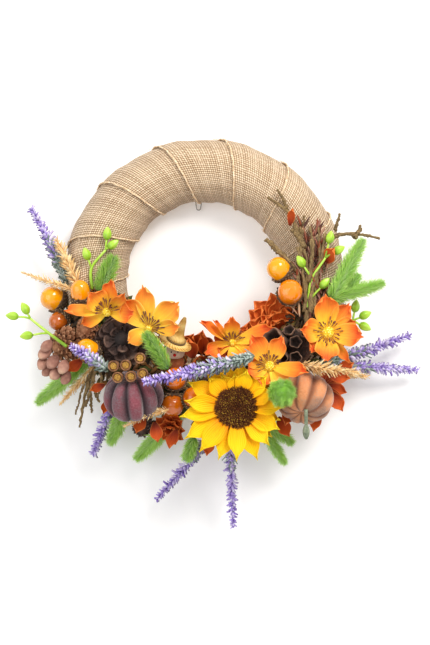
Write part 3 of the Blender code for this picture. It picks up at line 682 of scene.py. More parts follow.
def leaflet(rows, columns, width, curl=0.15, cup=0.1, fullest=0.5):
    """A unit leaf: it runs along x, its half width is width times the sine of pi t^k, with k set
    so that it is fullest at that share, and it curls up by curl t^2 and cups by cup s^2."""
    t = np.linspace(0.0, 1, rows)[:, None]
    s = np.linspace(-1, 1, columns)[None, :]
    half = width / 2 * np.sin(math.pi * t ** (math.log(0.5) / math.log(fullest))) ** 0.8
    return np.stack([t + 0 * s, half * s, curl * t**2 + cup * width * s**2 + 0 * s], -1)


def hair(width, curl=0.2, rows=4):
    """A unit hair: a three-sided rod along x that thins to its tip and curls up by curl t^2."""
    t = np.linspace(0, 1, rows)[:, None]
    turn = np.linspace(0, math.tau, 3, endpoint=False)[None, :]
    radius = width / 2 * (1 - 0.98 * t**1.5) * (t > 0)
    return np.stack([t + 0 * turn, radius * np.cos(turn), radius * np.sin(turn) + curl * t**2], -1)


GOLDEN_ANGLE = 2.39996


def bristles(spine, count, leaf, length, forward, dice, core=0.0, spread=0.25, closed=False, taper=1.0):
    """Copies of a leaf set round a spine like a bottle brush: each points outwards and, by
    forward, ahead. length is a function of the share along the spine, in metres."""
    share = (np.arange(count) + dice.uniform(0, 1, count)) / count
    place = share * (len(spine) - 1)
    first = np.minimum(place.astype(int), len(spine) - 2)
    part = (place - first)[:, None]
    where = spine[first] * (1 - part) + spine[first + 1] * part
    ahead, side, front = (axis[first] for axis in cross_frames(spine))
    turn = (np.arange(count) * GOLDEN_ANGLE + dice.normal(0, 0.3, count))[:, None]
    outwards = np.cos(turn) * side + np.sin(turn) * front
    lean = np.clip(forward + dice.normal(0, spread, count) * 0.5, 0.05, 0.95)[:, None]
    along = ahead * lean + outwards * np.sqrt(1 - lean**2)
    across = np.cross(ahead, outwards)
    up = np.cross(along, across)
    size = length(share) * (1 + dice.normal(0, spread * 0.6, count))
    places = where + outwards * core * (1 - share[:, None] * taper)
    copies = scatter(leaf, places, np.stack([along, across, up], 1), size[:, None])
    return patch(copies, closed, along=share, chance=dice.random(count))


lavender = Finish("lavender_florets", Roughness=0.6)
violet = lavender.ramp(
    lavender.given("chance") * 0.62 + lavender.along(0) * 0.38,
    (0.1, 108, 82, 170), (0.38, 152, 126, 208), (0.66, 190, 172, 228), (0.9, 230, 222, 244),
)
sage_tone = lavender.ramp(
    lavender.given("chance") * 0.6 + lavender.along(0) * 0.4,
    (0.1, 92, 108, 96), (0.5, 142, 158, 148), (0.95, 194, 206, 198),
)
purple_part = (lavender.given("along") * 12 + lavender.given("chance") * 3 - 4.8).clamped()
lavender.set("Base Color", lavender.blend(purple_part, sage_tone, violet))

stem_green = Finish("grey_green_stems", Roughness=0.7)
stem_green.colour(stem_green.noise(160.0), (0.3, 92, 104, 80), (0.7, 142, 150, 124))


def spike_line(length, bend=0.0, stem=0.0, turn=0.0, lift=0.0):
    """The middle line of a sprig along its own heading: a straight stem, then a slow bend."""
    share = np.array([0.0, 0.25, 0.5, 0.75, 1.0])
    x, y = stem + length * share, bend * share**2
    angle = math.radians(turn)
    ahead = x * math.cos(angle) - y * math.sin(angle)
    sideways = x * math.sin(angle) + y * math.cos(angle)
    spiked = np.stack([ahead, sideways, lift + 0 * x], -1)
    return [(0, 0, 0), *spiked] if stem else spiked


floret = leaflet(4, 3, 0.42, curl=-0.1, cup=0.5, fullest=0.6)
needle = leaflet(4, 3, 0.2, curl=0.12, cup=0.4, fullest=0.45)
LAVENDERS = {
    "lavender_top_left": (112, 8, [(97, 7, 0, 0, 0)], 0.4, 14, (4, 0, 0)),
    "lavender_right": (6, 12, [(94, 4, 13, 9, 0.8), (98, -2, 13, -8, -0.8)], 0.36, 14, (0, 0, 0)),
    "lavender_lower_left": (247.5, 12, [(60, 0, 24, 0, 0)], 0.2, 13, (0, 0, 0)),
    "lavender_bottom": (
        254, 12, [(112, -5, 14, -20, 0.8), (114, 3, 14, 16, -0.8)], 0.34, 13, (2, 0, -9)
    ),
    "lavender_middle": (195.5, 0, [(113, -4, 0, 0, 0)], 0.34, 15, (0, -4, -6)),
    "lavender_small_left": (140, 0, [(44, 5, 0, 0, 0)], 0.3, 14, (0, 0, 0)),
}
dice = np.random.default_rng(31)
for node, (towards, back, spikes, green, width, shift) in LAVENDERS.items():
    lines = laid([spike_line(*spike) for spike in spikes], towards, back, node)
    lines = [line + np.array(shift) * MM for line in lines]
    florets, stems = [], []
    for line in lines:
        spine = smooth_path(line, 60)
        length = np.linalg.norm(np.diff(spine, axis=0), axis=1).sum()
        stems.append(patch(tube(spine, np.linspace(1.1, 0.5, 60) * MM, 6), True))
        count = int(length / MM * 2.5)

        def floret_length(share):
            """Short at the foot, full over the middle, short again at the tip."""
            return width * 0.6 * MM * (0.62 + 0.38 * np.sin(math.pi * np.clip(share, 0, 1) ** 0.8))

        grid, closed, share, luck, uv = bristles(
            spine, count, floret, floret_length, 0.62, dice, 0.9 * MM
        )
        florets.append((grid, closed, share + 0.4 - green, luck, uv))
        grid, closed, share, luck, uv = bristles(
            spine[: int(len(spine) * (green + 0.2))], int(count * 0.5), needle,
            lambda share: width * 0.72 * MM + 0 * share, 0.72, dice, 0.6 * MM,
        )
        florets.append((grid, closed, 0 * share, luck, uv))
    make(f"{node}_florets", florets, lavender, [node], thickness=0.3 * MM)
    make(f"{node}_stems", stems, stem_green)

# The straw fronds: dried grass heads, bleached and dyed peach, with short stiff husks that all
# lean towards the tip.
straw = Finish("peach_straw", Roughness=0.75)
straw.colour(
    straw.given("chance") * 0.65 + straw.along(0) * 0.35,
    (0.1, 214, 160, 96), (0.4, 244, 200, 134), (0.7, 255, 222, 162), (0.95, 255, 240, 204),
)
husk = leaflet(4, 3, 0.2, curl=-0.05, cup=0.4, fullest=0.4)


def frond(spine, width, dice, dense=3.2):
    """Husks on a thin stalk, longest a third of the way up."""
    length = np.linalg.norm(np.diff(spine, axis=0), axis=1).sum()

    def husk_length(share):
        """Swells to the full width at a third of the way, then thins to the tip."""
        return width * 0.8 * MM * (0.45 + 0.55 * np.sin(math.pi * np.clip(share, 0, 1) ** 0.65))

    husks = bristles(spine, int(length / MM * dense), husk, husk_length, 0.8, dice, 0.5 * MM)
    stalk = tube(spine, np.linspace(0.9, 0.35, len(spine)) * MM, 6)
    return [husks, patch(stalk, True, chance=0.2)]


FRONDS = {
    "fronds_upper_left": (132, 8, [(62, 0, 0, -16, 0), (68, 0, 0, 29, 0)], (15, 8), 5),
    "frond_lower_left": (229, 10, [(44, 0, 22, 0, 0)], (9,), 0),
    "frond_right": (352, 10, [(64, 0, 10, 0, 0)], (14,), 0),
}
dice = np.random.default_rng(41)
for node, (towards, back, spikes, widths, right) in FRONDS.items():
    lines = laid([spike_line(*spike) for spike in spikes], towards, back, node)
    lines = [line + np.array([right, 0, 0]) * MM for line in lines]
    husks = []
    for line, width in zip(lines, widths):
        husks += frond(smooth_path(line, 40), width, dice)
    make(f"{node}_husks", husks, straw, [node], thickness=0.2 * MM)
for name, places, width in (
    ("frond_bottom", [(255, 24, 78), (249, 33, 82), (242, 56, 84)], 8.5),
    ("frond_front_right", [(318, 16, 92), (323, 38, 98), (328, 66, 100)], 13),
):
    line = smooth_path([on_ring(*place) for place in places], 40)
    make(f"{name}_husks", frond(line, width, dice), straw, thickness=0.2 * MM)

# The plush tails: foxtail grass heads in flocked nylon, a wire core wound with soft green fibre,
# darker towards the core as painted shade in the pile, and yellow-green at the fibre tips.
plush = Finish("green_plush_fibre", Roughness=0.8, Sheen_Weight=0.3)
depth = plush.along(0)
# The fibre is painted darker at its root, painted shade in the pile. Each piece blends a lit green with a
# darker painted-shade green by its along value.
lit_green = plush.ramp(
    depth * 0.7 + plush.given("chance") * 0.3,
    (0.05, 126, 190, 52), (0.35, 150, 212, 66), (0.65, 182, 230, 98), (0.95, 224, 246, 160),
)
shaded_green = plush.ramp(
    depth * 0.7 + plush.given("chance") * 0.3,
    (0.05, 62, 126, 12), (0.4, 108, 170, 28), (0.7, 156, 204, 60), (0.95, 204, 234, 124),
)
plush.set("Base Color", plush.blend(plush.given("along").clamped(), shaded_green, lit_green))
fibre = hair(0.075, 0.12)


def tail(spine, width, brightness, dice, dense=34):
    """A soft spike: fibres as long as half its width, which swells early and tapers to the tip."""
    length = np.linalg.norm(np.diff(spine, axis=0), axis=1).sum()

    def fibre_length(share):
        """Half a flattened ellipse along the spike."""
        return width * 0.8 * MM * (
            0.5 + 0.5 * np.sin(math.pi * np.clip(share * 0.92 + 0.1, 0, 1)) ** 0.6
        )

    grid, closed, share, luck, uv = bristles(
        spine, int(length / MM * dense), fibre, fibre_length, 0.62, dice, width * 0.1 * MM, closed=True
    )
    core = tube(spine, width * 0.2 * MM * np.sin(np.linspace(0.5, math.pi - 0.1, len(spine))), 8)
    return [
        (grid, closed, 0 * share + brightness, luck, uv),
        patch(core, True, along=brightness, chance=0.1)
    ]


# Each tail: heading, lean back, spikes, widths, and brightness: how far it takes the lit green over the
# painted-shade green.
TAILS = {
    "tail_upper_left": (68, 4, [(39, 0, 0, 0, 0)], (16,), 0.25),
    "tail_lower_left": (219.8, 10, [(60, 0, 20, 0, 0)], (14,), 1.1),
    "tail_bottom_left": (246.8, 12, [(38, 0, 28, 0, 0)], (14,), 1.1),
    "tail_bottom": (225.5, 12, [(44, 0, 30, 0, 0)], (14,), 1.2),
    "tails_bottom_right": (310, 12, [(40, 0, 12, 12, 0.8), (52, 0, 12, -8, -0.8)], (13, 12), 1.1),
    "tails_right": (39, 8, [(70, 0, 0, 22, 0.8), (58, 0, 0, -22, -0.8)], (15, 13), 1.3),
    "tail_middle": (119, 0, [(42, 3, 0, 0, 0)], (14,), 0.2),
}
dice = np.random.default_rng(51)
TAIL_SHIFTS = {
    "tails_bottom_right": np.array([8, 0, -8]) * MM, "tail_lower_left": np.array([-4, 0, -3]) * MM
}
for node, (towards, back, spikes, widths, brightness) in TAILS.items():
    lines = laid([spike_line(*spike) for spike in spikes], towards, back, node)
    lines = [line + TAIL_SHIFTS.get(node, 0) for line in lines]
    fibres = []
    for line, width in zip(lines, widths):
        fibres += tail(smooth_path(line, 40), width, brightness, dice)
    make(f"{node}_fibres", fibres, plush, [node])
short_tail = smooth_path([on_ring(266.5, 50, 50), on_ring(265.5, 62, 50), on_ring(264.4, 74, 48)], 30)
tuft = smooth_path([on_ring(354, 32, 54), on_ring(357.5, 37, 57), on_ring(1, 43, 58)], 20)
make(
    "tail_short_fibres", [*tail(short_tail, 13, 1.3, dice), *tail(tuft, 12, 1.5, dice)],
    plush,
)


def all_round(count):
    """Directions spread evenly over a sphere: equal steps up the axis, the golden angle round it."""
    height = 1 - 2 * (np.arange(count) + 0.5) / count
    turn = np.arange(count) * GOLDEN_ANGLE
    flat = np.sqrt(1 - height**2)
    return np.stack([flat * np.cos(turn), height, flat * np.sin(turn)], -1)


BALL_FIBRES = 2200
outwards = all_round(BALL_FIBRES)
side = unit(np.cross(outwards, [0.3, 0.2, 0.93]))
ball_axes = np.stack([outwards, side, np.cross(outwards, side)], 1)
ball_size = (np.array(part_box("plush_ball")[1]) - np.array(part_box("plush_ball")[0])) / 2
clump = np.sin(outwards @ np.array([5.0, 2.0, 6.0])) * np.sin(outwards @ np.array([-6.0, 3.0, 5.0]))
lengths = (0.48 + 0.12 * clump + dice.uniform(-0.08, 0.08, BALL_FIBRES)) * ball_size[0]
ball = scatter(
    hair(0.07, 0.25), middle("plush_ball") + outwards * ball_size * 0.62, ball_axes,
    lengths[:, None]
)
# Brighter where the fibres clump longer, and the left side painted in shade.
clump_tone_left_shade = 0.5 + 0.5 * clump - 0.5 * (outwards[:, 0] < -0.5)
lap = np.linspace(0, math.pi, 14)[:, None]
turn = np.linspace(0, math.tau, 20, endpoint=False)[None, :]
ball_core = np.stack(
    [np.sin(lap) * np.cos(turn), -np.cos(lap) + 0 * turn, -np.sin(lap) * np.sin(turn)], -1
)
ball_core = middle("plush_ball") + ball_core * ball_size * 0.74
make(
    "plush_ball_fibres",
    [
        patch(ball, True, along=clump_tone_left_shade, chance=dice.random(BALL_FIBRES)),
        # The core ball takes the lightest green: painted light that lifts the shade inside the ball.
        patch(ball_core, True, along=1.0, chance=1.0)
    ],
    plush, ["plush_ball"],
)

# The berry twiglets: lime plastic stems that fork, with a ribbed pointed bud on each end.
lime = Finish("lime_plastic", Roughness=0.35, Subsurface_Weight=0.1)
mottle = lime.noise(220.0)
lime.colour(
    mottle * 0.5 + lime.along(0) * 0.5, (0.2, 126, 176, 36), (0.5, 164, 208, 56), (0.85, 200, 230, 104),
)
lime.bump(mottle, 0.3 * MM)


def turned(profile, centre, axes, columns=24, ribs=0, groove=0.0):
    """A profile of (radius, height) in millimetres, from the back of the axis to the front, turned
    about the axis. The radius is cut by groove where the cosine of ribs times the turn dips."""
    profile = np.array(profile, float)
    turn = np.linspace(0, math.tau, columns, endpoint=False)[None, :]
    cut = 1 - groove * (0.5 - 0.5 * np.cos(ribs * turn))
    radius = profile[:, :1] * cut
    local = np.stack([radius * np.cos(turn), radius * np.sin(turn), profile[:, 1:] + 0 * turn], -1)
    return local @ (axes * MM) + centre


def standing(axis):
    """Axes whose third is this direction."""
    axis = unit(axis)
    helper = np.array([1.0, 0, 0]) if abs(axis[0]) < 0.8 else np.array([0, 0, 1.0])
    side = unit(helper - axis * (helper @ axis))
    return np.stack([side, np.cross(axis, side), axis])


def bud(root, tip, radius=4.9):
    """A twiglet from root to tip, and the ribbed bud that ends it."""
    axes = standing(tip - root)
    share = np.linspace(0, 1, 12)
    height = share * radius * 2.8
    width = radius * np.sin(math.pi * (0.06 + 0.94 * share) ** 0.8) ** 0.75
    foot = tip - axes[2] * radius * 2.5 * MM
    head = turned(np.stack([width, height], -1), foot, axes, 20, ribs=5, groove=0.2)
    bend = (root + foot) / 2 + np.array([0, -0.6, 0.6]) * MM
    return [patch(tube(smooth_path([root, bend, foot], 10), 1.15 * MM, 7), True), patch(head, True)]


BUDS = {
    "buds_upper_left": (
        87, 2, [(-4, 0, 0), (18, 2, 0), (38, -12, 2)],
        [(2, (61, -13, 4)), (2, (48, -24, 4)), (1, (38, 10, 4))],
    ),
    "buds_left": (
        156, 6, [(-4, 0, 0), (19, -5, 0), (43, -11, 2)],
        [(2, (67, -4, 3)), (2, (57, -22, 3)), (1, (44, 10, 3))],
    ),
    "buds_right": (
        90, 2, [(-4, 0, 0), (2, 0, 0), (26, -4, 2), (48, -18, 4)],
        [(3, (75, -24, 6)), (3, (59, -37, 6)), (2, (49, 11, 6)), (1, (26, -21, 6))],
    ),
    "buds_far_right": (
        15, 4, [(-6, 0, 0), (16, 0, 0), (29, 0, 0)],
        [(2, (38, 20, 3)), (2, (49, 4, 3)), (2, (44, -13, 3))]
    ),
}
for node, (towards, back, stalk, ends) in BUDS.items():
    line, tips = laid([stalk, [tip for _, tip in ends]], towards, back, node)
    parts = [patch(tube(smooth_path(line, 24), np.linspace(1.8, 1.3, 24) * MM, 8), True)]
    for (fork, _), tip in zip(ends, tips):
        parts += bud(line[fork], tip)
    make(f"{node}_plastic", parts, lime, [node])

# The acorns: lacquered plastic nuts, yellow, orange or brown, each pressed into a rough brown cap
# of overlapping scales.


def facing(towards=90.0, lean=0.0, spin=0.0):
    """Right, up and out for a piece that faces the front, leant towards a direction in the ring's
    plane and then spun about its own axis."""
    out = heading(towards, math.degrees(-math.pi / 2) + lean)
    right = unit(np.array([1.0, 0, 0]) - out * out[0])
    up = np.cross(out, right)
    turn = math.radians(spin)
    return np.stack([
        right * math.cos(turn) + up * math.sin(turn), up * math.cos(turn) - right * math.sin(turn), out,
    ])


lacquer = Finish("acorn_lacquer", Roughness=0.16, Coat_Weight=0.6, Coat_Roughness=0.06)
spots = lacquer.noise(90.0, 4.0)
tone = lacquer.given("chance") + (spots - 0.5) * 0.22 - lacquer.along(0) * 0.10
lacquer.colour(
    tone.clamped(), (0.05, 250, 164, 0), (0.3, 242, 136, 0), (0.52, 228, 114, 6),
    (0.76, 192, 94, 16), (0.97, 130, 66, 18),
)
lacquer.bump(spots, 0.5 * MM)

cap_brown = Finish("acorn_cap_scales", Roughness=0.85)
cap_brown.colour(
    cap_brown.along(0) * 0.5 + cap_brown.given("chance") * 0.5,
    (0.15, 40, 28, 18), (0.5, 84, 62, 42), (0.75, 134, 106, 76), (0.95, 178, 148, 112),
)
ACORNS = {
    "acorn_left_upper": (150, 62, 30, 25.5, 0.12), "acorn_left_inner": (95, 66, 30, 20.5, 0.22),
    "acorn_left_lower": (225, 55, 25, 19, 0.84), "acorn_left_front": (150, 50, 28, 23.5, 0.1),
    "acorn_middle_upper": (90, 30, 25, 23, 0.56), "acorn_middle_lower": (270, 50, 27, 23, 0.7),
    "acorn_middle_right": (60, 40, 25, 21, 0.6), "acorn_right_upper": (140, 58, 28, 24, 0.1),
    "acorn_right_lower": (90, 18, 28, 26, 0.42),
}
dice = np.random.default_rng(61)
CAP_SCALES = 110
scale = leaflet(4, 3, 0.85, curl=-0.25, cup=-0.2, fullest=0.6)
caps, scales = [], []
for node, (towards, lean, length, width, tone) in ACORNS.items():
    axes, centre = facing(towards, lean), middle(node)
    share = np.linspace(0, 1, 22)
    height = length * (0.68 * share - 0.18)
    round_off = np.sqrt(np.clip(1 - np.clip((share - 0.3) / 0.7, 0, 1) ** 2.6, 0, 1))
    radius = width / 2 * round_off * (1 - 0.06 * (1 - share) ** 3)
    tip = np.array([[width * 0.02, length * 0.505], [0, length * 0.52]])
    nut = turned(np.concatenate([np.stack([radius, height], -1)[:-1], tip]), centre, axes, 32)
    make(f"{node}_nut", [patch(nut, True, chance=tone)], lacquer, [node])
    bowl_turn = np.linspace(0, 1, 8) * math.pi / 2
    bowl = np.stack([width * 0.53 * np.sin(bowl_turn), -length * (0.13 + 0.34 * np.cos(bowl_turn))], -1)
    lip = [(width * 0.52, -length * 0.09), (width * 0.44, -length * 0.1)]
    caps.append(patch(turned(np.concatenate([bowl, lip]), centre, axes, 20), True, chance=0.15))
    stalk = turned(
        [(0, -length * 0.62), (1.5, -length * 0.6), (1.2, -length * 0.45), (0, -length * 0.44)],
        centre, axes, 8
    )
    caps.append(patch(stalk, True, chance=0.4))
    number = np.arange(CAP_SCALES)
    turn, down = number * GOLDEN_ANGLE, (number + 0.5) / CAP_SCALES
    fall = down * math.pi / 2
    out = np.cos(turn)[:, None] * axes[0] + np.sin(turn)[:, None] * axes[1]
    normal = out * np.sin(fall)[:, None] - axes[2] * np.cos(fall)[:, None]
    sunk = length * (0.12 + 0.34 * np.cos(fall))
    spot = centre + MM * (out * width * 0.52 * np.sin(fall)[:, None] - axes[2] * sunk[:, None])
    along = out * np.cos(fall)[:, None] + axes[2] * np.sin(fall)[:, None]
    along = along * 0.86 + normal * 0.5
    side = unit(np.cross(normal, along))
    basis = np.stack([along, side, np.cross(along, side)], 1)
    size = dice.uniform(2.4, 3.4, CAP_SCALES)[:, None] * MM
    scales.append(patch(scatter(scale, spot, basis, size), chance=dice.random(CAP_SCALES)))
make("acorn_caps", caps, cap_brown)
make("acorn_cap_scales", scales, cap_brown, thickness=0.5 * MM)

# The cones: real alder and larch cones, dried open. Thick woody scales stand round a core in the
# order of the golden angle, the dark one opened wide like a rose.


def cone_scales(node, axes, count, core, reach, size, openness, leaf, dice, widest=1.6):
    """Scales on a dome: scale i stands i golden angles round the axis and, from front to back,
    up to widest radians down from it. size and reach are (front, back) pairs in millimetres;
    openness turns a scale from lying on the dome, 0, to standing straight out of it, 1."""
    share = (np.arange(count) + 0.5) / count
    turn = np.arange(count) * GOLDEN_ANGLE + dice.normal(0, 0.08, count)
    fall = widest * np.sqrt(share) + dice.normal(0, 0.03, count)
    out = np.cos(turn)[:, None] * axes[0] + np.sin(turn)[:, None] * axes[1]
    normal = axes[2] * np.cos(fall)[:, None] + out * np.sin(fall)[:, None]
    down = out * np.cos(fall)[:, None] - axes[2] * np.sin(fall)[:, None]
    along = normal * openness + down * math.sqrt(1 - openness**2)
    side = np.cross(normal, down)
    up = np.cross(along, side)
    distance = reach[0] + (reach[1] - reach[0]) * share
    flat = np.array(core)[None, :]
    spot = middle(node) + MM * ((normal * distance[:, None]) @ axes.T * flat) @ axes
    length = (size[0] + (size[1] - size[0]) * share) * (1 + dice.normal(0, 0.1, count))
    return patch(
        scatter(leaf, spot, np.stack([along, side, up], 1), length[:, None] * MM), along=share,
        chance=dice.random(count)
    )


def knob(node, axes, radii, rows=12):
    """The core that the scales stand on: a rough ball stretched by its three radii."""
    turn = np.linspace(0, math.pi, rows)
    ball = turned(np.stack([np.sin(turn), -np.cos(turn)], -1), 0, np.eye(3), 18) / MM
    return patch((ball * np.array(radii)) @ (axes * MM) + middle(node), True, chance=0.1)


def woody(name, dark, mid, light, edge):
    """Dry wood scales: darker towards the root, painted shade in the throat, and paler along their outer
    edge.
    """
    made = Finish(name, Roughness=0.82)
    grain = made.noise(260.0, 5.0)
    rim = made.along(0) ** 4.0
    tone = (
        made.along(0) * 0.35 + made.given("chance") * 0.3 + grain * 0.55 - 0.12 + rim * 0.2
    ).clamped()
    made.colour(tone, (0.1, *dark), (0.45, *mid), (0.75, *light), (1.0, *edge))
    made.bump(grain, 0.6 * MM)
    return made


dark_wood = woody(
    "dark_cone_wood", (20, 12, 10), (56, 38, 32), (92, 68, 58), (156, 126, 106),
)
# The core is painted near black, painted shade in the throat of the cone.
throat_shade_wood = woody("cone_throat_shade", (10, 6, 5), (22, 14, 12), (40, 28, 24), (60, 44, 38))
brown_wood = woody(
    "brown_cone_wood", (58, 32, 16), (134, 86, 54), (180, 126, 90), (218, 172, 132),
)
pink_wood = woody(
    "pink_cone_wood", (84, 50, 40), (146, 100, 84), (186, 140, 120), (220, 182, 150),
)


def ragged(leaf, depth, waves):
    """A leaf whose far half is torn: its length is cut, and its face buckled, by sines across it."""
    torn = leaf.copy()
    side = leaf[..., 1:2] * waves
    far = leaf[..., :1] ** 3
    torn[..., :1] *= 1 - depth * far * (0.5 + 0.5 * np.sin(side * 3.1 + 1.0))
    torn[..., 2:] += depth * 0.5 * leaf[..., :1] * np.sin(side * 2.3 + leaf[..., :1] * 6.0)
    return torn


broad = ragged(leaflet(10, 9, 0.8, curl=0.16, cup=0.22, fullest=0.74), 0.14, 6.0)
narrow = leaflet(5, 5, 0.75, curl=0.15, cup=0.35, fullest=0.62)
spiky = leaflet(5, 3, 0.42, curl=0.1, cup=0.3, fullest=0.4)
dice = np.random.default_rng(71)
axes = facing(30, 8)
make("cone_dark_open_scales", [
    cone_scales("cone_dark_open", axes, 20, (1, 1, 0.8), (3, 10), (14, 24), 0.6, broad, dice, 1.5),
    cone_scales("cone_dark_open", axes, 8, (1, 1, 0.7), (7, 12), (18, 22), 0.4, broad, dice, 1.7),
], dark_wood, thickness=1.6 * MM)
make(
    "cone_dark_open_core", [knob("cone_dark_open", axes, (10, 10, 9))], throat_shade_wood,
    ["cone_dark_open"],
)
axes = facing(200, 20)
make("cone_small_brown_scales", [
    cone_scales("cone_small_brown", axes, 60, (1, 1, 1), (6, 9.5), (3.5, 6), 0.5, narrow, dice, 1.7),
], brown_wood, thickness=0.8 * MM)
make(
    "cone_small_brown_core", [knob("cone_small_brown", axes, (8, 8, 9))], brown_wood,
    ["cone_small_brown"]
)
axes = facing(200, 40)
make("cone_long_brown_scales", [
    cone_scales(
        "cone_long_brown", axes, 110, (1, 1, 1.15), (12, 14.5), (5, 7.5), 0.55, narrow, dice, 2.0
    ),
], brown_wood, thickness=1.2 * MM)
bud_scales = []
for angle, out, front, length, width in (
    (209.3, 61.6, 76, 17, 7.0), (205.5, 66, 70, 16, 6.6), (212.5, 55, 78, 16, 6.6),
    (213, 66, 70, 16, 6.6),
    (208, 73, 66, 16, 6.4), (203.5, 60, 76, 15, 6.2), (216, 60, 70, 15, 6.0), (211, 72, 64, 15, 6.0),
):
    own = standing(heading(dice.uniform(190, 262), dice.uniform(-34, -4)))
    rise = np.linspace(0, 1, 12)
    swell = width * np.sin(math.pi * (0.05 + 0.95 * rise) ** 1.1) ** 0.6
    shell = turned(
        np.stack([swell, (rise - 0.5) * length], -1), on_ring(angle, out, front), own, 18, 3, 0.22
    )
    bud_scales.append(patch(shell, True, chance=dice.random()))
make("cone_bud_scales", bud_scales, pink_wood)
make(
    "cone_long_brown_core", [knob("cone_long_brown", axes, (13, 13, 16))], brown_wood,
    ["cone_long_brown"]
)
axes = facing(250, 40)
make("cone_black_scales", [
    cone_scales("cone_black", axes, 70, (1, 1, 1), (4, 8), (7, 9), 0.8, spiky, dice, 1.9),
], dark_wood, thickness=0.7 * MM)
make("cone_black_core", [knob("cone_black", axes, (7, 7, 8))], dark_wood, ["cone_black"])

# The seed pod: a dried lotus-like head, wrinkled and nearly black, with one wide open cell and
# several small ones.
pod = Finish("seed_pod_skin", Roughness=0.85)
grain = pod.noise(260.0, 5.0)
lip = (1.0 - ((pod.along(0) - 0.45) * 4.0).math("ABSOLUTE")).clamped()
pod.colour(
    (lip * 0.42 + grain * 0.6 - 0.06).clamped(),
    (0.1, 22, 13, 9), (0.35, 62, 42, 32), (0.6, 116, 86, 68), (0.9, 184, 152, 126),
)
pod.bump(grain, 0.8 * MM)
low, high = (np.array(corner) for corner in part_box("seed_pod"))
half = (high - low) / 2 / MM
rows, columns = 36, 72
lap = np.linspace(0, math.pi, rows)[:, None]
turn = np.linspace(0, math.tau, columns, endpoint=False)[None, :]
wrinkle = (
    0.06 * np.sin(7 * turn + 5 * np.cos(3 * lap))
    + 0.05 * np.sin(11 * lap + 4 * np.sin(2 * turn))
    + 0.03 * np.sin(23 * turn + 9 * lap)
)
skin = np.stack([np.sin(lap) * np.cos(turn), np.sin(lap) * np.sin(turn), -np.cos(lap) + 0 * turn], -1)
axes = facing(160, 25)
skin = skin * (1 + wrinkle * np.sin(lap))[..., None] * np.array(
    [half[0] * 0.92, half[2] * 0.86, half[1] * 0.4]
)
POD_CELLS = [
    (-11, 4, 15, 13.5), (3, 15, 14, 6), (10, 3, 15, 6.5), (-4, -11, 15, 7), (9.5, -12, 14, 6.5),
    (18, 12, 9, 5),
]
parts = [patch(skin @ (axes * MM) + middle("seed_pod"), True)]
for x, y, z, radius in POD_CELLS:
    cell_axes = standing(axes[2] * 1.6 + axes[0] * x / 20 + axes[1] * y / 20)
    centre = middle("seed_pod") + np.array([x, y, z]) @ (axes * MM)
    wall = np.array([
        (0, -0.9), (0.4, -0.86), (0.66, -0.5), (0.78, 0.1), (0.9, 0.5), (1.02, 0.62), (1.08, 0.5),
        (1.0, 0.0),
        (0.84, -0.6), (0.5, -1.0), (0, -1.05),
    ]) * radius
    cup = turned(wall[::-1], centre, cell_axes, 36, ribs=5, groove=0.16)
    parts.append(patch(cup, True, chance=0.5))
make("seed_pod_cells", parts, pod, ["seed_pod"])

# The seed cups: six small eucalyptus caps on wires, each a brown cup with a ring and a dull gold
# seed plate inside.
cup_brown = Finish("cup_wood", Roughness=0.7)
cup_brown.colour(
    cup_brown.noise(300.0), (0.3, 84, 50, 28), (0.55, 138, 92, 56), (0.8, 184, 136, 92),
)
gold = Finish("dull_gold_seed", Roughness=0.45, Metallic=0.35)
grain = gold.node("ShaderNodeTexVoronoi", None, {"Vector": gold.place(), "Scale": 900.0}, "Distance")
# Grain tops are painted lighter and the crevices between the grains darker: painted shade.
gold.colour(grain, (0.0, 216, 170, 72), (0.5, 168, 122, 42), (1.0, 96, 66, 24))
gold.bump(1 - grain, 0.4 * MM)
axes = facing(220, 8)
places = np.array([(-14, -7), (-2, -8), (-10, 4), (3, 3), (14.5, 0), (12, -15)], float)
places -= (places.min(0) + places.max(0)) / 2
cups, seeds, wires = [], [], []
for x, y in places * [1, -1]:
    centre = middle("seed_cups") + np.array([x + 3, y + 4, 0]) @ (axes * MM)
    own = standing(axes[2] * 14 + axes[0] * x * 0.1 + axes[1] * y * 0.1)
    cups.append(patch(turned([
        (0, -6), (2, -5.6), (4.4, -2), (5.3, 3), (5.7, 7.2), (5.5, 8), (4.7, 8), (4.5, 7),
        (4.2, 6.4), (0, 6.4),
    ], centre, own, 24), True))
    plate = [(0, 6), (3.9, 6.1), (3.6, 7.0), (2.6, 7.3), (2.2, 7.0), (1.2, 7.2), (0, 7.3)]
    seeds.append(patch(turned(plate, centre, own, 20), True))
    root = middle("seed_cups") - axes[2] * 7 * MM + axes[0] * x * 0.5 * MM
    wire = [root, (root + centre) / 2 - axes[2] * 3 * MM, centre - own[2] * 5 * MM]
    wires.append(patch(tube(smooth_path(wire, 10), 0.9 * MM, 6), True))
make("seed_cup_shells", cups + wires, cup_brown, ["seed_cups"])
make("seed_cup_plates", seeds, gold)

# The pumpkins: carved foam balls with flocked skins, one dusky plum and one peach with grey-brown
# patches of rubbed fuzz, ribbed from stalk to base.


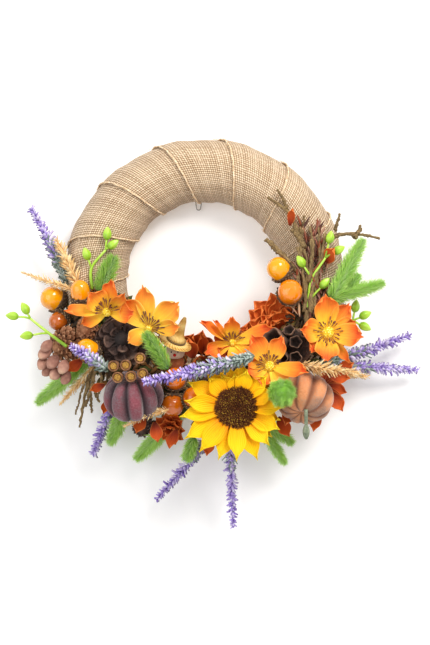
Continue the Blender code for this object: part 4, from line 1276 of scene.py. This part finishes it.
def flocked(name, skin, patches, groove_shade, ribs):
    """Short fuzz over foam: skin colour on the ribs, patches where noise is high, and painted
    shade darkening the groove where the cosine of ribs times the turn is lowest."""
    made = Finish(name, Roughness=0.95, Sheen_Weight=0.55, Sheen_Roughness=0.4)
    fuzz = made.noise(700.0, 4.0)
    cloud = made.noise(34.0, 5.0)
    valley = 0.5 - 0.5 * (made.along(1) * (ribs * math.tau)).math("COSINE")
    tone = (fuzz * 0.6 + cloud * 0.5 - 0.05).clamped()
    skin_colour = made.ramp(tone, *((place, *colour) for place, colour in zip((0.2, 0.5, 0.8), skin)))
    worn = ((cloud + fuzz * 0.35 - 0.58) * 6.0).clamped()
    rubbed = made.ramp(fuzz, (0.3, *patches[0]), (0.7, *patches[1]))
    coloured = made.blend(worn * 0.85, skin_colour, rubbed)
    # Painted shade darkens the valleys between the ribs.
    made.set("Base Color", made.blend((valley**3.0 * 0.95).clamped(), coloured, paint(*groove_shade)))
    made.bump(fuzz * 0.7 + cloud * 0.5, 1.0 * MM)
    return made


def pumpkin(node, axes, ribs, groove, finish, name):
    """A ball flattened to the CAD solid's box: its radius is cut by groove in the valleys between
    ribs, and both poles are dimpled in proportion to (1 - distance from the axis) squared."""
    low, high = (np.array(corner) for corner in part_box(node))
    rows, columns = 48, ribs * 14
    lap = np.linspace(0, math.pi, rows)[:, None]
    turn = np.linspace(0, math.tau, columns, endpoint=False)[None, :]
    flat = np.sin(lap)
    valley = (0.5 - 0.5 * np.cos(ribs * turn)) ** 3
    lumpy = 1 + 0.02 * np.sin(3 * turn + 1.3) + 0.015 * np.sin(5 * turn) * np.sin(2 * lap)
    radius = flat * (1 - groove * valley * (0.35 + 0.65 * flat)) * lumpy
    height = -np.cos(lap) * (1 - 0.3 * (1 - flat) ** 2) + 0 * turn
    ball = np.stack([radius * np.cos(turn), radius * np.sin(turn), height], -1)
    width = (high - low)[0] / 2 * 1.02
    world = ball @ (axes * np.array([[width], [width], [width * 0.86]]))
    made = make(name, [patch(world + middle(node), True)], finish, [node])


plum = flocked(
    "plum_flock", ((88, 44, 52), (142, 72, 82), (190, 118, 124)),
    ((64, 54, 60), (116, 100, 104)), (34, 22, 28), 9,
)
pumpkin("pumpkin_plum", facing(95, 68), 9, 0.2, plum, "pumpkin_plum_flocked")
peach = flocked(
    "peach_flock", ((190, 112, 66), (228, 154, 104), (250, 200, 156)),
    ((104, 84, 72), (168, 130, 110)), (126, 76, 50), 9,
)
pumpkin("pumpkin_peach", facing(255, 50, 12), 9, 0.16, peach, "pumpkin_peach_flocked")

stalk_skin = Finish("grey_green_stalk", Roughness=0.7)
streak = stalk_skin.noise(240.0)
stalk_skin.colour(streak, (0.3, 92, 104, 84), (0.55, 136, 146, 120), (0.8, 176, 180, 150))
stalk_skin.bump(streak, 0.5 * MM)
(line,) = laid([spike_line(20, 0, 14)], 272, 24, "pumpkin_stalk")
path = smooth_path(line, 30)
share = np.linspace(0, 1, 30)
swell = np.sin(math.pi * np.clip(share * 1.5 - 0.5, 0, 1)) ** 0.8
stalk = tube(path, (1.3 + 2.4 * swell + 0.6 * (share < 0.3)) * MM, 12)
make("pumpkin_stalk_plastic", [patch(stalk, True)], stalk_skin, ["pumpkin_stalk"])

# The silk cosmos: polyester petals, cut and heat-pressed so that they cup and ruffle, dyed yellow
# at the foot and orange to red at the edge, on a yellow boss with a ring of brown filaments.


def petal(
    length, width, cup=0.2, curl=0.08, ruffle=0.06, blunt=0.62, foot=0.2, phase=0.0, narrows=0.72,
    notch=0.05, rounding=1.0, rows=18, columns=13,
):
    """A petal along x in millimetres. Its half width runs as foot + (1 - foot) sin(pi t / 1.3) and
    narrows to blunt, as an ellipse where rounding is a half; its far edge is rounded in s squared
    and notched by a sine. Heights add a cup in s squared, a curl in t squared and ruffles, sine
    waves that grow towards the far edge."""
    t = np.linspace(0, 1, rows)[:, None]
    s = np.linspace(-1, 1, columns)[None, :]
    swell = foot + (1 - foot) * np.sin(math.pi * np.minimum(t / 1.3, 1)) ** 0.9
    end = np.clip((t - narrows) / (1 - narrows), 0, 1)
    half = width / 2 * swell * (1 - (1 - blunt) * end**2.0) ** rounding
    tip = 1 - 0.13 * s**2 * t**3 + notch * t**4 * np.sin(2.5 * math.pi * s + phase)
    waves = ruffle * width * t**2 * np.abs(s) ** 1.5 * np.sin(4.5 * t * math.pi + phase + 2 * s)
    height = cup * width * s**2 * (0.4 + 0.6 * t) + curl * length * t**2 + waves
    return np.stack([length * t * tip, half * s, height], -1)


def bloom(centre, axes, petals, root, dice, **shape):
    """Petals round a centre: each is (turn, length, width, rise, twist), its turn measured from
    the right as the flower faces the viewer, rise lifting its tip and twist rolling it."""
    made = []
    for angle, length, width, rise, twist in petals:
        own = petal(length, width, phase=dice.uniform(0, 6), **shape)
        turn, lift, roll = (math.radians(value) for value in (angle, rise, twist))
        along = axes[0] * math.cos(turn) + axes[1] * math.sin(turn)
        side = np.cross(axes[2], along)
        ahead = along * math.cos(lift) + axes[2] * math.sin(lift)
        up = axes[2] * math.cos(lift) - along * math.sin(lift)
        across = side * math.cos(roll) + up * math.sin(roll)
        top = up * math.cos(roll) - side * math.sin(roll)
        start = centre + along * root * MM
        made.append(patch(own @ (np.stack([ahead, across, top]) * MM) + start, chance=dice.random()))
    return made


def silk_finish(name, foot, low, mid, high, edge):
    """Dyed silk: colours run out along the petal in fine streaks, with a pale worn edge."""
    made = Finish(name, Roughness=0.62, Specular_IOR_Level=0.3)
    run, across = made.along(0), made.along(1)
    stretch = made.node(
        "ShaderNodeCombineXYZ", None,
        {0: run * 2.0, 1: across * 26.0, 2: made.given("chance") * 30.0}
    )
    streak = made.noise(1.0, 4.0, stretch)
    blotch = made.noise(60.0, 3.0)
    tone = (
        run * 0.95 + (streak - 0.5) * 0.42 + (blotch - 0.5) * 0.35
        + (made.given("chance") - 0.5) * 0.16
    ).clamped()
    dyed = made.ramp(tone, (0.05, *foot), (0.3, *low), (0.58, *mid), (0.9, *high))
    side = (across * 2.0 - 1.0).math("ABSOLUTE")
    rim = (side**14.0 + run**30.0).clamped() * 0.55
    made.set("Base Color", made.blend(rim, dyed, paint(*edge)))
    made.bump(streak * 0.8 + (across * 90.0).math("SINE") * 0.12, 0.5 * MM)
    return made


orange_silk = silk_finish(
    "orange_silk", (252, 220, 64), (252, 190, 48), (246, 140, 40), (228, 82, 24),
    (255, 176, 76),
)
yellow_silk = silk_finish(
    "yellow_silk", (252, 226, 72), (250, 198, 56), (250, 164, 48), (240, 120, 42),
    (255, 222, 110),
)
filament = Finish("brown_filaments", Roughness=0.7)
filament.colour(
    filament.along(0) + (filament.given("chance") - 0.5) * 0.3,
    (0.1, 250, 214, 70), (0.35, 198, 140, 50), (0.6, 132, 74, 44), (0.95, 92, 44, 34),
)
pollen = Finish("yellow_boss", Roughness=0.8)
crumb = pollen.node(
    "ShaderNodeTexVoronoi", None, {"Vector": pollen.place(), "Scale": 620.0}, "Distance"
)
# Crumb tops are painted near white as a painted highlight, and the crevices between the crumbs darker as
# painted shade.
pollen.colour(crumb, (0.0, 255, 255, 226), (0.35, 255, 226, 50), (0.8, 214, 156, 12))
pollen.bump(1 - crumb, 0.8 * MM)


def stamens(centre, axes, count, reach, spread, dice, boss=6.0, rise=3.0):
    """Filaments that fan from the centre over a range of turns, each a thin rod that arches up
    and ends in a small anther, and a rough round boss in the middle."""
    turn = np.radians(np.linspace(*spread, count) + dice.normal(0, 4, count))
    tilt = np.radians(dice.uniform(22, 62, count))
    length = reach * dice.uniform(0.75, 1.1, count)
    flat = np.cos(turn)[:, None] * axes[0] + np.sin(turn)[:, None] * axes[1]
    share = np.linspace(0, 1, 7)[None, :, None]
    run = length[:, None, None] * share * MM
    path = centre + flat[:, None] * (run * np.cos(tilt)[:, None, None] + boss * 0.4 * MM)
    path = path + axes[2] * (run * np.sin(tilt)[:, None, None] * (1 - 0.35 * share) + rise * MM)
    rods = patch(
        tube(path, np.array([0.35, 0.32, 0.3, 0.3, 0.3, 0.75, 0.6]) * MM, 5), True,
        chance=dice.random(count)
    )
    lap = np.linspace(0, math.pi * 0.94, 16)
    swell = 1 + 0.05 * np.cos(9 * lap[::-1])
    dome = np.stack([boss * np.sin(lap) * swell, boss * 0.8 * np.cos(lap) + rise], -1)
    return rods, patch(turned(dome, centre, axes, 20), True)


COSMOS = {
    "cosmos_left": (facing(190, 12), orange_silk, [
        (128, 27, 26, 30, 12), (74, 35, 18, 20, -8), (42, 36, 14, 34, 40), (182, 42, 17, 22, 42),
        (204, 28, 15, 4, -20),
        (0, 28, 22, 8, 10),
    ]),
    "cosmos_upper_left": (facing(100, 4), yellow_silk, [
        (98, 43, 20, 12, 0), (41, 39, 25, 10, 8), (3, 30, 18, 8, 14), (134, 40, 25, 10, -10),
        (-62, 42, 10, 6, 20),
        (215, 24, 18, 2, 0),
    ]),
    "cosmos_middle": (facing(90, 10), orange_silk, [
        (92, 30, 17, 38, 0), (155, 42, 17, 26, 44), (138, 32, 10, 30, 50), (12, 48, 21, 20, -20),
        (-28, 40, 19, 10, -26),
        (-62, 26, 26, 26, 0), (205, 30, 18, 6, 10),
    ]),
    "cosmos_lower_right": (facing(120, 14), orange_silk, [
        (-16, 43, 18, 22, -14), (-50, 29, 21, 16, 0), (200, 24, 20, 14, 6), (122, 36, 22, 24, 10),
        (64, 32, 19, 20, 0),
        (160, 26, 18, 12, 0), (250, 21, 17, 10, 0),
    ]),
    "cosmos_right": (facing(20, 8), orange_silk, [
        (97, 38, 26, 16, 0), (54, 35, 20, 12, 6), (20, 29, 18, 8, 0), (-9, 35, 25, 18, -8),
        (-97, 30, 26, 16, 0),
        (176, 30, 25, 18, 0), (-52, 37, 11, 8, 34), (228, 26, 20, 8, 0),
    ]),
}
STAMENS = {
    "cosmos_left": (26, 15, (10, 190), 5.0), "cosmos_upper_left": (26, 17, (-50, 130), 4.0),
    "cosmos_middle": (22, 13, (20, 170), 4.0), "cosmos_lower_right": (22, 14, (10, 200), 5.5),
    "cosmos_right": (30, 14, (-20, 330), 7.0),
}
CENTRES = {"cosmos_left", "cosmos_lower_right", "cosmos_right"}
LIFTS = {"cosmos_middle": 9, "cosmos_left": -3, "cosmos_lower_right": -3, "cosmos_right": -3}
dice = np.random.default_rng(81)
for node, (axes, finish, petals) in COSMOS.items():
    count, reach, spread, boss = STAMENS[node]
    centre = middle(f"{node}_centre" if node in CENTRES else node) + axes[2] * LIFTS.get(node, 0) * MM
    petals = bloom(centre, axes, petals, 2.0, dice, blunt=0.2, narrows=0.72, notch=0.04, rounding=0.5)
    make(f"{node}_petals", petals, finish, [node], thickness=0.35 * MM)
    rods, dome = stamens(centre, axes, count, reach, spread, dice, boss)
    stood = [f"{node}_centre"] if node in CENTRES else []
    make(f"{node}_filaments", [rods], filament)
    make(f"{node}_boss", [dome], pollen, stood)

# The sunflower: two rings of golden silk petals with pointed tips and pressed veins, round a
# padded disc of dark looped pile flecked with gold.
gold_silk = Finish("sunflower_silk", Roughness=0.6, Specular_IOR_Level=0.2)
run, across = gold_silk.along(0), gold_silk.along(1)
vein = (across * 62.0).math("SINE")
stretch = gold_silk.node(
    "ShaderNodeCombineXYZ", None,
    {0: run * 1.6, 1: across * 18.0, 2: gold_silk.given("chance") * 40.0}
)
streak = gold_silk.noise(1.0, 4.0, stretch)
gold_silk.colour(
    (run * 0.8 + (streak - 0.5) * 0.4 + gold_silk.given("chance") * 0.2).clamped(),
    (0.05, 232, 122, 4), (0.28, 252, 172, 2), (0.62, 255, 200, 4), (1.0, 255, 222, 40),
)
gold_silk.bump(streak * 0.5 + vein * 0.25, 0.7 * MM)
seeds = Finish("sunflower_pile", Roughness=0.95)
seeds.colour(
    seeds.given("chance") * 0.75 + seeds.along(0) * 0.25,
    (0.1, 66, 26, 8), (0.45, 116, 58, 16), (0.72, 156, 108, 28), (0.95, 216, 176, 66),
)
axes = facing(70, 6)
centre = middle("sunflower_seeds")
dice = np.random.default_rng(91)
FRONT_PETALS = [
    (189, 59, 20), (173, 54, 20), (152, 56, 21), (133, 43, 20), (114, 37, 19), (93, 35, 18),
    (74, 41, 19),
    (46, 46, 21), (24, 43, 20), (1, 51, 21), (-27, 50, 22), (-49, 52, 20), (-68, 58, 20), (-90, 57, 20),
    (-109, 57, 20), (-130, 61, 22), (-149, 62, 22),
]
BACK_PETALS = [(angle + 9.0, 48, 18) for angle in range(0, 360, 24)]
rings = []
for ring, root, rise, height in ((BACK_PETALS, 14, -2, -6.0), (FRONT_PETALS, 15, 12, -2.5)):
    petals = [
        (angle, reach - root, width, rise + dice.normal(0, 6), dice.normal(0, 12))
        for angle, reach, width in ring
    ]
    rings += bloom(
        centre + axes[2] * height * MM, axes, petals, root, dice,
        cup=0.2, curl=-0.05, ruffle=0.03, blunt=0.06, foot=0.4, narrows=0.42, notch=0.0,
    )
make(
    "sunflower_silk_petals", rings, gold_silk, ["sunflower_petals"],
    thickness=0.4 * MM
)
count = 1500
share = np.sqrt((np.arange(count) + 0.5) / count)
turn = np.arange(count) * GOLDEN_ANGLE
flat = np.cos(turn)[:, None] * axes[0] + np.sin(turn)[:, None] * axes[1]
radius, crown = 21.0, 7.0
height = crown * np.sqrt(1.02 - share**2) - 3.0 - 2.5 * np.exp(-((share / 0.22) ** 2))
spot = centre + MM * (flat * (radius * share)[:, None] + axes[2] * height[:, None])
lean = unit(axes[2] + flat * (share**3)[:, None] * 0.9 + dice.normal(0, 0.16, (count, 3)))
side = unit(np.cross(lean, axes[0]))
tufts = scatter(
    hair(0.5, 0.1, 4), spot, np.stack([lean, side, np.cross(lean, side)], 1),
    dice.uniform(2.4, 4.2, count)[:, None] * MM
)
pad = turned([(0, -6), (19, -5.5), (21, -3), (20, 0), (14, 3), (6, 3.6), (0, 2.0)], centre, axes, 32)
gleam = np.clip(dice.random(count) * (0.55 + 0.5 * np.exp(-(((share - 0.55) / 0.35) ** 2))), 0, 1)
make(
    "sunflower_disc", [patch(tufts, True, chance=gleam), patch(pad, True, chance=0.1)], seeds,
    ["sunflower_seeds"]
)

# The rust silks: layered dahlias and loose leaves in dark rust and burnt orange, which fill in
# behind the larger pieces.
rust = silk_finish(
    "rust_silk", (104, 30, 8), (160, 54, 12), (198, 80, 22), (222, 104, 34), (238, 140, 66),
)


def dahlia(centre, axes, reach, width, rings, dice):
    """Rings of oval petals, each ring shorter, steeper and nearer the middle than the last."""
    made = []
    for ring in range(rings):
        share = 1 - ring / rings
        count = int(5 + 5 * share)
        petals = [
            (
                360 / count * (i + 0.5 * ring) + dice.normal(0, 5),
                reach * (0.35 + 0.65 * share) * dice.uniform(0.9, 1.1),
                width * (0.7 + 0.3 * share),
                62 * (1 - share) + 8 + dice.normal(0, 6),
                dice.normal(0, 10),
            )
            for i in range(count)
        ]
        made += bloom(
            centre + axes[2] * ring * 1.6 * MM, axes, petals, 1.5, dice, cup=0.24, curl=0.1,
            ruffle=0.02,
            blunt=0.3, narrows=0.5, notch=0.0,
        )
    return made


dice = np.random.default_rng(101)
dahlia_right = []
foot = middle("rust_flower_right") + np.array([13, 4, -17]) * MM
for count, first, last, length, width, rise in (
    (5, 88, 176, 42, 24, 4), (5, 76, 184, 35, 25, 14), (4, 92, 168, 28, 24, 26),
    (3, 100, 160, 21, 22, 40),
):
    petals = [
        (
            angle + dice.normal(0, 4), length + dice.normal(0, 1.5), width,
            rise + dice.normal(0, 3), dice.normal(0, 9)
        )
        for angle in np.linspace(first, last, count)
    ]
    dahlia_right += bloom(
        foot, facing(90, 0), petals, 1.0, dice,
        blunt=0.1, narrows=0.7, notch=0.0, cup=0.2, ruffle=0.0, rounding=0.5,
    )
for name, petals in (
    ("rust_flower_right", dahlia_right),
    ("rust_flower_bottom", dahlia(middle("rust_flower_bottom"), facing(250, 30), 18, 12, 3, dice)),
):
    make(f"{name}_petals", petals, rust, [name], thickness=0.35 * MM)


def loose_leaf(angle, out, front, towards, length, width, rise):
    """One leaf at a place on the ring, pointing along a heading and lifted towards the front."""
    leaf = (towards, length, width, rise, dice.normal(0, 14))
    return bloom(
        on_ring(angle, out, front), facing(90, 0), [leaf], 0.0, dice,
        blunt=0.05, narrows=0.45, notch=0.0, ruffle=0.08, cup=0.26, rounding=0.6,
    )


centre = middle("rust_leaves_right")
leaves = bloom(centre, facing(320, 30), [
    (60, 24, 13, 10, 0), (20, 24, 14, 4, 10), (-24, 26, 14, 8, 0), (-70, 28, 14, 14, 8),
    (-110, 26, 13, 10, 0),
    (100, 20, 12, 10, 0), (-50, 30, 12, 22, 20),
], 1.0, dice, blunt=0.2, narrows=0.5, notch=0.0, ruffle=0.09)
make("rust_leaves_right_silk", leaves, rust, ["rust_leaves_right"], thickness=0.35 * MM)
LOOSE_LEAVES = [
    (31.3, -12, 54, 80, 20, 9, 20), (7.0, 12, 55, 60, 20, 17, 30), (322, 46, 66, 350, 24, 15, 10),
    (318, 60, 66, 300, 24, 15, 10),
    (311, 62, 60, 260, 26, 14, 10), (324, 52, 66, 30, 22, 14, 10), (298, 48, 52, 300, 24, 15, 10),
    (227, 36, 50, 200, 18, 10, 20), (232, 44, 50, 250, 18, 11, 20),
    (272, 46, 52, 262, 24, 14, 10),
    (246, 38, 60, 250, 22, 14, 10), (251, 42, 58, 280, 22, 14, 10), (214, 36, 60, 220, 20, 13, 10),
    (328, 30, 70, 20, 22, 14, 10), (333, 24, 66, 40, 22, 14, 10), (305, 44, 60, 250, 24, 14, 10),
    (260, 44, 52, 250, 22, 15, 10),
]
INNER_LEAVES = [
    (292, -34, 28, 70, 28, 20, 20), (286, -36, 26, 95, 28, 20, 20), (279, -34, 28, 60, 28, 20, 24),
    (273, -34, 26, 110, 28, 20, 20), (266, -36, 28, 80, 28, 20, 16), (260, -34, 30, 120, 28, 20, 10),
    (254, -34, 28, 60, 26, 18, 16), (249, -32, 28, 100, 26, 18, 10), (297, -32, 28, 45, 28, 20, 20),
    (303, -30, 30, 90, 26, 20, 20), (276, -26, 30, 180, 26, 20, 10), (284, -26, 30, 20, 28, 20, 10),
    (290, -22, 40, 140, 26, 20, 14), (262, -32, 40, 100, 24, 18, 20), (258, -26, 42, 150, 24, 18, 10),
]
loose = [piece for leaf in LOOSE_LEAVES + INNER_LEAVES for piece in loose_leaf(*leaf)]
make("rust_loose_leaves", loose, rust, thickness=0.35 * MM)

# The bed: preserved moss and torn brown leaves that fill every gap over the lower half of the wrap.
moss = Finish("moss_and_leaf_bed", Roughness=0.9)
moss.colour(
    moss.given("chance") * 0.8 + moss.noise(160.0) * 0.2,
    (0.15, 40, 30, 18), (0.35, 86, 60, 30), (0.55, 66, 84, 34), (0.75, 128, 84, 40),
    (0.92, 166, 118, 60),
)
count = 2200
turn = np.radians(dice.uniform(192, 356, count))
out = dice.uniform(-30, 32, count)
dome = np.sqrt(np.clip(1 - (out / 33) ** 2, 0, 1))
places = np.stack([
    on_ring(math.degrees(t), o, 9 + 34 * d + f)
    for t, o, d, f in zip(turn, out, dome, dice.uniform(2, 6, count))
])
ahead = unit(dice.normal(0, 1, (count, 3)) * [1, 0.45, 1])
side = unit(np.cross(ahead, dice.normal(0, 0.4, (count, 3)) + [0, -1, 0]))
bed = scatter(
    leaflet(5, 3, 0.42, curl=0.15, cup=0.3), places, np.stack([ahead, side, np.cross(ahead, side)], 1),
    dice.uniform(7, 16, count)[:, None] * MM,
)
make(
    "moss_and_leaf_bed", [patch(bed, chance=dice.random(count))], moss,
    thickness=0.25 * MM
)

# The doll: a thumb-high scarecrow with a pointed straw hat, a plain painted wooden face, a bead
# nose and a knitted rust body.
cloth = Finish("knitted_body", Roughness=0.95)
knit = (cloth.along(0) * 120.0).math("SINE") * (cloth.along(1) * 150.0).math("SINE")
cloth.colour(
    knit * 0.3 + cloth.noise(300.0) * 0.7, (0.2, 150, 70, 34), (0.5, 198, 112, 64),
    (0.8, 226, 156, 104)
)
cloth.bump(knit, 0.6 * MM)
face_paint = Finish("face_paint", Roughness=0.6)
face_paint.colour(face_paint.noise(120.0), (0.3, 206, 180, 156), (0.7, 232, 214, 196))
axes = facing(90, 75)
centre = middle("doll_body") - np.array([0, 5, 0]) * MM
ball = np.stack(
    [10.5 * np.sin(np.linspace(0, math.pi, 16)), 2 - 9 * np.cos(np.linspace(0, math.pi, 16))], -1
)
make("doll_face", [patch(turned(ball, centre, axes, 24), True)], face_paint)
chest = turned([(0, -18), (7, -17.5), (9.5, -12), (9.8, -7), (8.4, -3.5), (0, -3)], centre, axes, 24)
make("doll_knitted_body", [patch(chest, True)], cloth, ["doll_body"])
ink = Finish("black_ink", Roughness=0.4)
ink.colour(ink.noise(500.0), (0.3, 16, 14, 14), (0.7, 44, 38, 36))
red = Finish("red_bead", Roughness=0.25)
red.colour(red.noise(400.0), (0.3, 200, 12, 14), (0.7, 232, 34, 30))


def bead(place, radius, axes):
    """A small round bead."""
    lap = np.linspace(0, math.pi, 10)
    return patch(
        turned(np.stack([radius * np.sin(lap), -radius * np.cos(lap)], -1), place, axes, 14), True
    )


front, up, right = -axes[1], axes[2], axes[0]
eyes = [centre + (right * side * 3.4 + up * 4.2 + front * 9.6) * MM for side in (-1, 1)]
make("doll_eyes", [bead(place, 0.8, axes) for place in eyes], ink)
make("doll_nose", [bead(centre + (up * 1.4 + front * 10.8) * MM, 1.7, axes)], red)

hat_straw = Finish("plaited_straw", Roughness=0.8)
plait = (
    (hat_straw.along(0) * 34.0).math("SINE") * 0.5
    + (hat_straw.along(1) * 180.0 + hat_straw.along(0) * 40.0).math("SINE") * 0.35
)
hat_straw.colour(
    plait * 0.5 + hat_straw.noise(140.0), (0.1, 176, 128, 50), (0.45, 226, 180, 92),
    (0.8, 248, 218, 140),
)
hat_straw.bump(plait, 0.6 * MM)
axes = facing(68, 66)
centre = middle("doll_body") + np.array([2, -15, 15]) * MM
crown = [(0.2, 27), (1.6, 26.4), (3.0, 22), (4.0, 16), (5.4, 9), (7.6, 3.2), (9.4, 0.4), (9.6, -1.8)]
brim = [(12.5, -2.6), (17.5, -3.4), (17.8, -4.2), (12.5, -4.0), (8.8, -3.4), (0, -3.0)]
hat = turned((crown + brim)[::-1], centre, axes, 36)
make("doll_straw_hat", [patch(hat, True)], hat_straw, ["doll_hat"])
band = turned([(9.7, -1.8), (10.4, -1.7), (10.5, -0.2), (9.5, 0.4)], centre, axes, 36)
make("doll_hat_band", [patch(band, True)], bark)

sizes = {"cad": [list(corner) for corner in cad_box], "visual": [list(corner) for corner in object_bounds()]}
